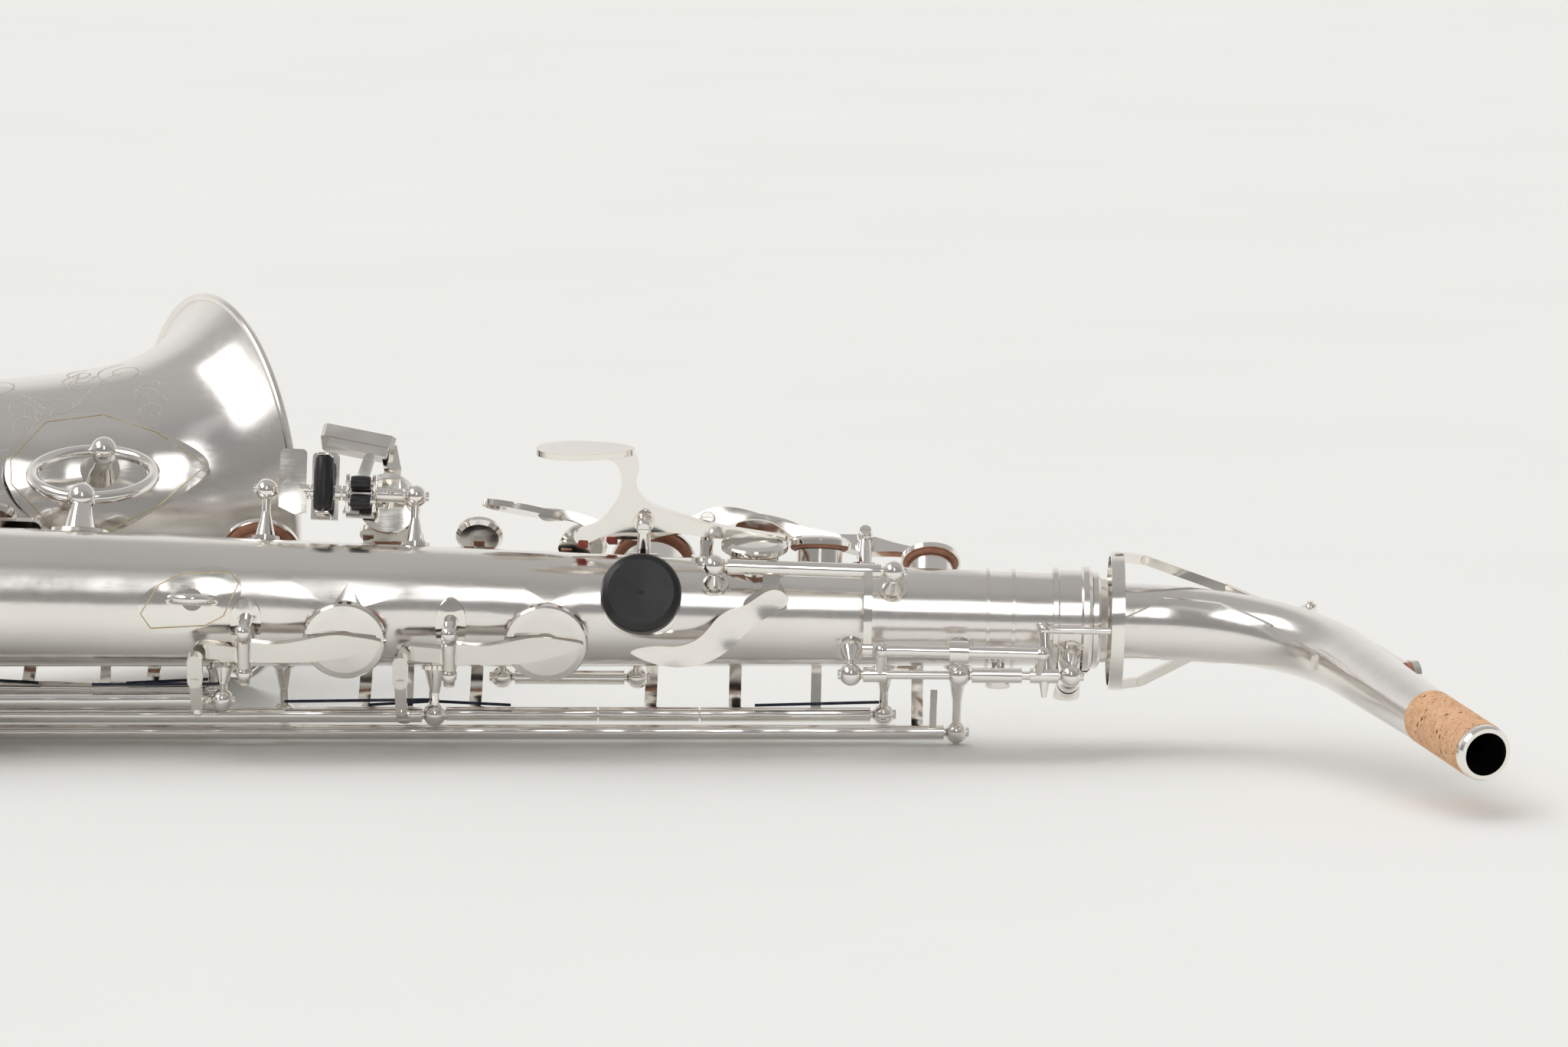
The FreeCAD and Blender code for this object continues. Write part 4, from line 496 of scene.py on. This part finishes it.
def pad(node, body, tube, x, angle, radius, state):
    """Leather pad with the print of its tone hole, and its resonator or rivet."""
    place = cup_place(node, tube, x, angle, state)
    edge = radius - CUP_WALL - 0.12
    seat = radius * HOLE_SHARE - 0.35
    profile = [
        (0, 1.3), (edge - 0.3, 1.3), (edge, 1.0), (edge, -0.25), (edge - 0.2, -0.62),
        (edge - 0.7, -0.9), (seat + 0.9, -0.93), (seat + 0.3, -0.80), (seat - 0.3, -0.80),
        (seat - 0.9, -0.95), (radius * 0.5, -PAD_FACE), (0, -PAD_FACE),
    ]
    proud = LOW_PAD_PROUD if state == "lifted" else 1.0
    profile = [(reach, height * (proud if height < 0 else 1.0)) for reach, height in profile]
    mesh = bmesh.new()
    turn_on(mesh, profile, place, 56)
    piece("pad_" + node, mesh, body, "leather_pad")
    disc = radius * 0.44 if radius > 10.5 else 1.7
    mesh = bmesh.new()
    profile = [
        (0, -0.9), (disc, -0.9), (disc, -1.15), (disc * 0.92, -1.35), (disc * 0.6, -1.6),
        (1.2, -1.75), (1.1, -1.95), (0, -2.05),
    ]
    sunk = PAD_FACE * (1 - proud)
    turn_on(mesh, [(reach, height + sunk) for reach, height in profile], place, 40)
    piece("resonator_" + node, mesh, body, "silver_key")


def pearl(key, angle, x, height):
    place = swing(key) @ facing(BODY.at(x, angle, height), BODY.out(angle))
    mesh = bmesh.new()
    turn_on(mesh, PEARL_PROFILE, place, 48)
    piece("pearl_" + key, mesh, key, "pearl")


# ---- screws, corks and rollers ----
def slotted_head(mesh, place, radius, thickness, slot=0.55):
    """A cheese head: a disc under two half discs that leave the slot between them."""
    disc = thickness * 0.55
    turn_on(mesh, [(0, 0), (radius, 0), (radius, disc), (0, disc)], place, 28)
    reach = math.acos(min(0.95, slot / 2 / radius))
    for side in (0.0, math.pi):
        low, high = [], []
        for index in range(15):
            turn = side - reach + 2 * reach * index / 14
            x, y = radius * math.cos(turn), radius * math.sin(turn)
            low.append(mesh.verts.new(place @ (Vector((x, y, thickness * 0.5)) * MM)))
            high.append(mesh.verts.new(place @ (Vector((x * 0.93, y * 0.93, thickness)) * MM)))
        mesh.faces.new(low[::-1])
        mesh.faces.new(high)
        for index in range(15):
            after = (index + 1) % 15
            mesh.faces.new((low[index], low[after], high[after], high[index]))


def hinge_screws():
    """Slotted ends of the hinge rods, outside the end posts."""
    mesh = bmesh.new()
    for tube, lines in ((BODY, LINES), (BELL, BELL_LINES)):
        for angle, height, first, last in lines.values():
            ends = tube.at(first, angle, height), tube.at(last, angle, height)
            for spot, other in (ends, ends[::-1]):
                way = (spot - other).normalized()
                seat = facing(spot + way * (POST_BALL - 0.55) * MM, way)
                slotted_head(mesh, seat, 1.45, 1.0)
    piece("hinge_screws", mesh, "horn", "steel", 30.0)


GUARD_TOP = 18.75
GUARDED = ((BODY, -440.0, -62.0), (BOW, 0.0, 0.0), (BELL, 52.0, -92.0), (BELL, 101.0, -92.0))


def guard_screws():
    """Slotted tops of the felt bumpers, in the hubs of the key guards."""
    mesh = bmesh.new()
    for tube, x, angle in GUARDED:
        seat = facing(tube.at(x, angle, GUARD_TOP), tube.out(angle))
        slotted_head(mesh, seat, 3.0, 0.9, 0.8)
    piece("guard_screws", mesh, "horn", "steel", 30.0)


# corks on the tails: key: (rod line, x), and under the palm keys: key: (x, angle, height)
TAIL_CORKS = {
    "key_c": ("upper_stack", -80.0),
    "key_g": ("upper_stack", -200.5),
    "key_fsharp": ("lower_stack", -290.5),
}
PALM_CORKS = {
    "palm_d": (-149.5, 80.0, 3.9),
    "palm_eb": (-141.0, 105.0, 4.1),
}


def foot_cork(key, place, size):
    mesh = bmesh.new()
    block_on(mesh, place, size)
    piece("foot_cork_" + key, mesh, key, "felt")


def foot_corks():
    """Corks on the tails that stop the stack keys, and under the palm keys."""
    for key, (line, x) in TAIL_CORKS.items():
        angle = LINES[line][0] - 16
        place = swing(key) @ facing(BODY.at(x, angle, 2.7), BODY.out(angle))
        foot_cork(key, place, (3.4, 2.6, 1.3))
    for key, (x, angle, height) in PALM_CORKS.items():
        foot_cork(key, facing(BODY.at(x, angle, height), BODY.out(angle)), (2.8, 6.0, 1.6))


TABLE_ANGLE = LINES["table"][0]


def table_place(x, height, front):
    """A place by the upright webs of the left-hand table, in front of their hinge."""
    return BODY.at(x, TABLE_ANGLE, height) - BODY.out(TABLE_ANGLE + 90) * front * MM


def roller(name, touch, start, end, radius):
    """A barrel-shaped roller on its pin, between two lugs on a touch."""
    first, last = table_place(*start), table_place(*end)
    way = (last - first).normalized()
    length = (last - first).length / MM
    mesh = bmesh.new()
    profile = [
        (0, 0), (radius * 0.86, 0), (radius * 0.93, 0.5), (radius, length * 0.3),
        (radius, length * 0.7), (radius * 0.93, length - 0.5), (radius * 0.86, length), (0, length),
    ]
    turn_on(mesh, profile, facing(first, way), 32)
    piece(name, mesh, touch, "black_plastic")
    mesh = bmesh.new()
    behind = BODY.out(TABLE_ANGLE + 90)
    for spot in (first - way * 1.0 * MM, last + way * 1.0 * MM):
        lug = facing(spot + behind * radius * 0.9 * MM, way)
        block_on(mesh, lug, (radius * 1.3, radius * 2.6, 1.0))
    rod_on(mesh, first - way * 1.6 * MM, last + way * 1.6 * MM, 0.55, 12)
    piece(name + "_pin", mesh, touch, "silver_key")


# rollers of the table: name, touch, one end, other end, radius
ROLLERS = (
    ("roller_low_b", "low_b_touch", (-226.0, 9.0, 4.6), (-226.0, 24.5, 4.6), 3.0),
    ("roller_csharp_low", "csharp_touch", (-218.0, 12.0, 4.2), (-212.2, 12.0, 4.2), 2.1),
    ("roller_csharp_high", "csharp_touch", (-218.0, 17.5, 4.2), (-212.2, 17.5, 4.2), 2.1),
)


# ---- the neck's cork ----
NECK_LENGTH = NECK_STRAIGHT + NECK_BEND * NECK_TURN + NECK_REACH
NECK_SIDE = -8.0          # the neck bends towards this angle about the body
NECK_ROOT, NECK_NARROWS = 11.4, 4.5
TIP_RING = 2.2


def neck_spot(length):
    """Position and direction at a length along the neck's centreline, and the tube's radius."""
    side = BODY.out(NECK_SIDE)
    turn = min(max(length - NECK_STRAIGHT, 0.0), NECK_BEND * NECK_TURN) / NECK_BEND
    way = ALONG * math.cos(turn) + side * math.sin(turn)
    spot = ALONG * (NECK_STRAIGHT + NECK_BEND * math.sin(turn))
    spot += side * NECK_BEND * (1 - math.cos(turn))
    spot += way * max(0.0, length - NECK_STRAIGHT - NECK_BEND * NECK_TURN)
    return ORIGIN + spot * MM, way, NECK_ROOT - NECK_NARROWS * length / NECK_LENGTH


def neck_cork():
    """The cork sleeve: its surface is sanded but pitted."""
    start = NECK_LENGTH - CORK_LENGTH - TIP_RING
    steps, sides = 110, 150
    mesh = bmesh.new()
    outer, inner = [], []
    for step in range(steps + 1):
        length = start + CORK_LENGTH * step / steps
        centre, way, bore = neck_spot(length)
        across = way.orthogonal().normalized()
        beside = way.cross(across)
        ease = 0.35 * max(0.0, 1 - min(step, steps - step) / 2.0)
        outside, inside = [], []
        for index in range(sides):
            turn = math.tau * index / sides
            out = across * math.cos(turn) + beside * math.sin(turn)
            spot = centre + out * CORK_RADIUS * MM
            pit = fractal(spot * 700.0, 0.9, 2.0, 3)
            dip = 0.30 * max(0.0, pit - 0.35) + 0.03 * fractal(spot * 160.0, 1.0, 2.0, 2)
            reach = CORK_RADIUS - ease - max(0.0, dip)
            outside.append(mesh.verts.new(centre + out * reach * MM))
            inside.append(mesh.verts.new(centre + out * (bore + 0.02) * MM))
        outer.append(outside)
        inner.append(inside)
    loop = outer + inner[::-1]
    for first, second in zip(loop, loop[1:] + loop[:1]):
        for index in range(sides):
            after = (index + 1) % sides
            mesh.faces.new((first[index], first[after], second[after], second[index]))
    sleeve = piece("cork_sleeve", mesh, "neck", "cork", 60.0)
    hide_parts("neck_cork")


# ---- engraving on the bell ----
WRIGGLE_STEP = 0.42
WRIGGLE_WIDTH = 0.34
STROKE = 0.09
ENGRAVED_SIDE = -78.0     # how far round from the bell's far side the pattern's middle lies
BELL_SAG = 4.0            # the bell's middle leans aside by this much at BELL_SAG_AT
BELL_SAG_AT = 150


def spiral(u, v, radius, turns, start, hand):
    points = []
    for index in range(61):
        share = index / 60
        turn = start + hand * turns * math.tau * share
        reach = radius * (1 - 0.86 * share)
        points.append((u + reach * math.cos(turn), v + reach * math.sin(turn)))
    return points


def leaf(u, v, length, way, bulge):
    """One side of a leaf: a bowed stroke from its foot to its tip, ending in a small hook."""
    points = []
    for index in range(31):
        share = index / 30
        aside = bulge * math.sin(math.pi * share) + bulge * 0.25 * math.sin(math.tau * share)
        ahead = length * share
        points.append((
            u + math.cos(way) * ahead - math.sin(way) * aside,
            v + math.sin(way) * ahead + math.cos(way) * aside,
        ))
    return points


def vine(u_from, u_to, v, swing_by, waves, phase):
    points = []
    for index in range(141):
        share = index / 140
        aside = swing_by * math.sin(phase + waves * math.tau * share)
        points.append((u_from + (u_to - u_from) * share, v + aside))
    return points


def even(points, step):
    """The same line with its points a step apart."""
    spaced = [points[0]]
    left = step
    for (x0, y0), (x1, y1) in zip(points, points[1:]):
        length = math.hypot(x1 - x0, y1 - y0)
        done = left
        while done <= length:
            spaced.append((x0 + (x1 - x0) * done / length, y0 + (y1 - y0) * done / length))
            done += step
        left = done - length
    return spaced


def wriggled(points):
    """A graver walked from side to side along a line."""
    spaced = even(points, WRIGGLE_STEP)
    cut = []
    for index in range(1, len(spaced) - 1):
        (x0, y0), (x1, y1) = spaced[index - 1], spaced[index + 1]
        length = math.hypot(x1 - x0, y1 - y0)
        side = WRIGGLE_WIDTH * (1 if index % 2 else -1) / length
        x, y = spaced[index]
        cut.append((x - (y1 - y0) * side, y + (x1 - x0) * side))
    return cut


def engraving_lines():
    """Scrolls and leaves, as (along the bell, around it) in millimetres."""
    lines = []
    for side in (-1, 1):
        lines.append(vine(34, 178, side * 30, 9, 1.5, 0.4))
        lines.append(vine(58, 186, side * 66, 5, 2.0, 2.0))
        for index, u in enumerate((48, 84, 122, 158)):
            hand = side * (1 if index % 2 else -1)
            inner, outer = side * (30 + hand * side * 15), side * (64 - hand * side * 6)
            lines.append(spiral(u, inner, 11 - index, 1.6, hand * 1.4, hand))
            lines.append(spiral(u + 17, outer, 7.5, 1.4, -hand * 1.2, -hand))
            for fan in (-0.5, 0.1, 0.7):
                lines.append(leaf(u + 10, side * 33, 15, side * (0.5 + fan), 3.2))
                lines.append(leaf(u + 10, side * 33, 15, side * (0.5 + fan), -1.6))
            for fan in (-0.9, -0.2, 0.5):
                lines.append(leaf(u + 6, side * 62, 11, side * (0.9 + fan), 2.4))
                lines.append(leaf(u + 6, side * 62, 11, side * (0.9 + fan), -1.0))
    lines.append(vine(20, 196, 0, 9, 4.5, 0.4))
    for index, u in enumerate((28, 46, 64, 146, 164, 184)):
        hand = 1 if index % 2 else -1
        lines.append(spiral(u, hand * 9, 8.5, 1.6, hand * 1.4, hand))
        lines.append(spiral(u + 8, -hand * 13, 5.5, 1.3, -hand * 1.1, -hand))
        for fan in (-0.5, 0.1, 0.7):
            lines.append(leaf(u + 3, -hand * 3, 12, -hand * (0.5 + fan), 2.6))
            lines.append(leaf(u + 3, -hand * 3, 12, -hand * (0.5 + fan), -1.2))
    for turn in range(8):
        way = math.tau * turn / 8
        lines.append(leaf(105, 0, 16, way, 3.6))
        lines.append(leaf(105, 0, 16, way, -3.6))
    lines.append(spiral(105, 0, 5.0, 1.0, 0.0, 1))
    return lines


def skin_of(node):
    """A CAD node's surface, for rays to land on."""
    data = frame["nodes"][node].data
    faces = [face.vertices for face in data.polygons]
    return BVHTree.FromPolygons([vertex.co for vertex in data.vertices], faces)


def new_curve(name, radius, resolution):
    curve = bpy.data.curves.new(name, "CURVE")
    curve.dimensions = "3D"
    curve.bevel_depth = radius * MM
    curve.bevel_resolution = resolution
    return curve


def run_on(curve, spots):
    """Adds a run of straight pieces through the spots."""
    spline = curve.splines.new("POLY")
    spline.points.add(len(spots) - 1)
    for point, spot in zip(spline.points, spots):
        point.co = (*spot, 1)
    return spline


def curve_piece(name, curve, material):
    curve.materials.append(MATERIALS[material])
    thing = placed(name, curve)
    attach(thing, "horn")


def engraving():
    skin = skin_of("bell")
    curve = new_curve("bell_engraving", STROKE, 0)
    for points in engraving_lines():
        run = []
        for u, v in wriggled(points):
            sag = ASIDE * BELL_SAG * MM * (u / BELL_SAG_AT) ** 2
            middle = BELL.origin + BELL.along * u * MM + sag
            out = BELL.out(180 + math.degrees((v + ENGRAVED_SIDE) / BELL.wall(u)))
            hit = skin.ray_cast(middle + out * 0.09, -out)
            if hit[0] is not None:
                run.append(hit[0])
        if len(run) >= 3:
            run_on(curve, run)
    curve_piece("bell_engraving", curve, "engraved")


# ---- worn edges of the thin foot plates ----
# outlines as (along the horn, around it) from the plate's middle
STRAP_PLATE = (
    (-15.5, -4.5), (-12.5, -8.8), (4.0, -7.6), (9.5, -4.5), (13.8, 5.5), (11.0, 8.6), (-3.0, 8.0),
    (-10.0, 4.5),
)
LEAF_PLATE = (
    (-34, -4), (-22, -17), (-4, -19), (12, -12), (27, 0), (12, 12), (-4, 19), (-22, 17), (-34, 4),
)
WORN_WIDTH = 0.2
WORN_INSET = 0.965
WORN_STEP = 0.5
SEEK_FROM = 12.0          # rays start this far above the wall
SEEK_REACH = 0.022        # and have to land within this many metres


def worn_edge(name, node, tube, x, angle, outline):
    """A line of brass where the plating has rubbed off along the edge of a foot plate."""
    skin = skin_of(node)
    inset = [(u * WORN_INSET, v * WORN_INSET) for u, v in outline]
    spots = []
    for u, v in even(inset + inset[:1], WORN_STEP):
        start = tube.at(x + u, angle, SEEK_FROM) + tube.out(angle + 90) * v * MM
        hit = skin.ray_cast(start, -tube.out(angle))
        if hit[0] is not None and (hit[0] - start).length < SEEK_REACH:
            spots.append(hit[0])
    curve = new_curve(name, WORN_WIDTH, 1)
    run_on(curve, spots).use_cyclic_u = True
    curve_piece(name, curve, "worn_brass")


def plate_edges():
    """The strap ring's plate, and the brace's leaf on the bell, which faces the body."""
    worn_edge("strap_plate_edge", "strap_ring", BODY, -262.0, 9.0, STRAP_PLATE)
    far = BODY.at(-298.0, 121.0, 12.5) + (ASIDE * 35.0 + ALONG * 3.0 + UP * 5.0) * MM
    way = far - BELL.origin
    angle = math.degrees(math.atan2(way.dot(BELL.quarter), way.dot(BELL.zero)))
    x = way.dot(BELL.along) / MM + 6.0
    worn_edge("leaf_plate_edge", "bell_brace", BELL, x, angle, LEAF_PLATE)


# ---- the scene ----


def paint_cad():
    """Each CAD node takes the finish of its slot."""
    for entry in frame["record"]["subparts"]:
        thing = frame["nodes"][entry["node"]]
        if not thing.material_slots:
            thing.data.materials.append(None)
        for held in thing.material_slots:
            held.material = MATERIALS[entry["material_slot"]]


FLOOR_SHADES = ((0.80, 0.80, 0.775), (0.82, 0.82, 0.795))
FLOOR_HALF = 9.0          # metres
FLOOR_PLACE = (0, 4.0, -0.0002)
SUN_POWER = 1.42
SUN_WIDTH = 64.0
SUN_FROM = (-0.25, 0.45, 1.0)


def floor_and_light():
    """The white sweep that the horn lies on, under one wide soft light from above and behind."""
    material, tree, shader, where = node_material("floor")
    shade = spread(tree, noise(tree, where, 3.0, 3.0), 0.3, 0.7)
    tree.links.new(mixed(tree, shade, *FLOOR_SHADES), shader.inputs["Base Color"])
    shader.inputs["Roughness"].default_value = 0.75
    shader.inputs["Specular IOR Level"].default_value = 0.1
    mesh = bmesh.new()
    bmesh.ops.create_grid(mesh, x_segments=1, y_segments=1, size=FLOOR_HALF)
    data = bpy.data.meshes.new("floor")
    mesh.to_mesh(data)
    mesh.free()
    data.materials.append(material)
    floor = placed("floor", data)
    floor.location = FLOOR_PLACE
    light = bpy.data.lights.new("overhead", "SUN")
    light.energy = SUN_POWER
    light.angle = math.radians(SUN_WIDTH)
    lamp = placed("overhead", light)
    lamp.rotation_euler = (-Vector(SUN_FROM)).to_track_quat("-Z", "Y").to_euler()
    lamp.visible_glossy = False


# The room that the silver mirrors. Its climb is in degrees up from the camera's side and over to
# the back; its X runs from -1 at the left to 1 at the right.
ROOM = (                  # climb, glow
    (-90, 0.80), (-4, 0.80), (0, 0.30), (14, 0.27), (20, 0.30), (46, 0.30), (58, 0.34), (75, 0.42),
    (128, 0.46), (142, 0.74), (160, 0.84), (180, 0.84),
)
ROOM_TINT = (1.0, 0.985, 0.965)
BELOW_BEHIND = (0.84, 0.83, 0.81)
BACKDROP = (0.80, 0.80, 0.785)    # what the camera itself sees behind the floor
# bright patches: (climb from dark to full, climb from full to dark), the same in X, and glow
SOFTBOX = ((19.0, 23.0, 40.0, 50.0), (-0.035, 0.02, 0.12, 0.16), 2.6)
WINDOW = ((36.0, 46.0, 96.0, 108.0), (-0.80, -0.70, -0.48, -0.40), 2.2)
STRIP = (44.0, 50.0, 54.0, 60.0)  # a dim strip at the left, open towards X = -1
STRIP_EDGE = (0.01, -0.03)
STRIP_GLOW = 0.22


def band(tree, value, start, full, full_until, end):
    """1 in the middle of a span of a value, falling to 0 on both its sides."""
    return times(
        tree, spread(tree, value, start, full), spread(tree, value, end, full_until))


def surroundings():
    """A bright sweep behind, a grey room overhead and bright patches, for silver to mirror."""
    world = bpy.data.worlds.new("room")
    bpy.context.scene.world = world
    world.use_nodes = True
    tree = world.node_tree
    where = tree.nodes.new("ShaderNodeTexCoord")
    split = tree.nodes.new("ShaderNodeSeparateXYZ")
    tree.links.new(where.outputs["Generated"], split.inputs["Vector"])
    across = split.outputs["X"]
    climb = maths(tree, "ARCTAN2", split.outputs["Z"], times(tree, split.outputs["Y"], -1.0))
    climb = maths(tree, "DIVIDE", climb, math.radians(1.0))
    ramp = tree.nodes.new("ShaderNodeValToRGB")
    tree.links.new(spread(tree, climb, -90.0, 180.0), ramp.inputs["Fac"])
    stops = ramp.color_ramp.elements
    for index, (degrees, glow) in enumerate(ROOM):
        stop = stops[index] if index < 2 else stops.new(1.0)
        stop.position = (degrees + 90) / 270
        stop.color = (*[glow * share for share in ROOM_TINT], 1)
    behind_below = spread(tree, climb, -90.5, -89.5, 1.0, 0.0)
    room = mixed(tree, behind_below, ramp.outputs["Color"], BELOW_BEHIND)
    edge = spread(tree, across, *STRIP_EDGE, 0.0, STRIP_GLOW)
    glow = times(tree, band(tree, climb, *STRIP), edge)
    for heights, breadths, power in (SOFTBOX, WINDOW):
        patch = times(tree, band(tree, climb, *heights), band(tree, across, *breadths))
        glow = maths(tree, "ADD", glow, times(tree, patch, power))
    lit = tree.nodes.new("ShaderNodeMix")
    lit.data_type = "RGBA"
    lit.blend_type = "ADD"
    lit.inputs["Factor"].default_value = 1.0
    tree.links.new(room, lit.inputs[6])
    tree.links.new(glow, lit.inputs[7])
    path = tree.nodes.new("ShaderNodeLightPath")
    background = tree.nodes["Background"]
    shown = mixed(tree, path.outputs["Is Camera Ray"], lit.outputs[2], BACKDROP)
    tree.links.new(shown, background.inputs["Color"])


SENSOR = 36.0
PICTURE_WIDTH = 2048
LENS_REACH = 8900.0       # focal length, in the same pixels as the picture's width
CAMERA_RISE = math.radians(7.3)
CAMERA_DISTANCE = 2.0
AIM_X = -90.0             # the body's axis at this x is below the picture's centre
AIM_LIFT = 26.5


def camera():
    """Looks across the horn from the player's side, a little from above."""
    up = Vector((0, math.sin(CAMERA_RISE), math.cos(CAMERA_RISE)))
    back = Vector((0, -math.cos(CAMERA_RISE), math.sin(CAMERA_RISE)))
    aim = horn(AIM_X, 0, 0) + up * AIM_LIFT * MM
    lens = bpy.data.cameras.new("camera")
    lens.sensor_width = SENSOR
    lens.lens = SENSOR * LENS_REACH / PICTURE_WIDTH
    lens.clip_start = 0.05
    lens.clip_end = 40.0
    view = placed("camera", lens)
    turn = Matrix((up.cross(back), up, back)).transposed().to_4x4()
    view.matrix_world = Matrix.Translation(aim + back * CAMERA_DISTANCE) @ turn
    bpy.context.scene.camera = view


paint_cad()
for cup in CUPS:
    pad(*cup)
for key, spot in PEARLS.items():
    pearl(key, *spot)
hinge_screws()
guard_screws()
foot_corks()
for row in ROLLERS:
    roller(*row)
neck_cork()
engraving()
plate_edges()
floor_and_light()
surroundings()
camera()
bpy.context.scene.view_settings.view_transform = "Standard"
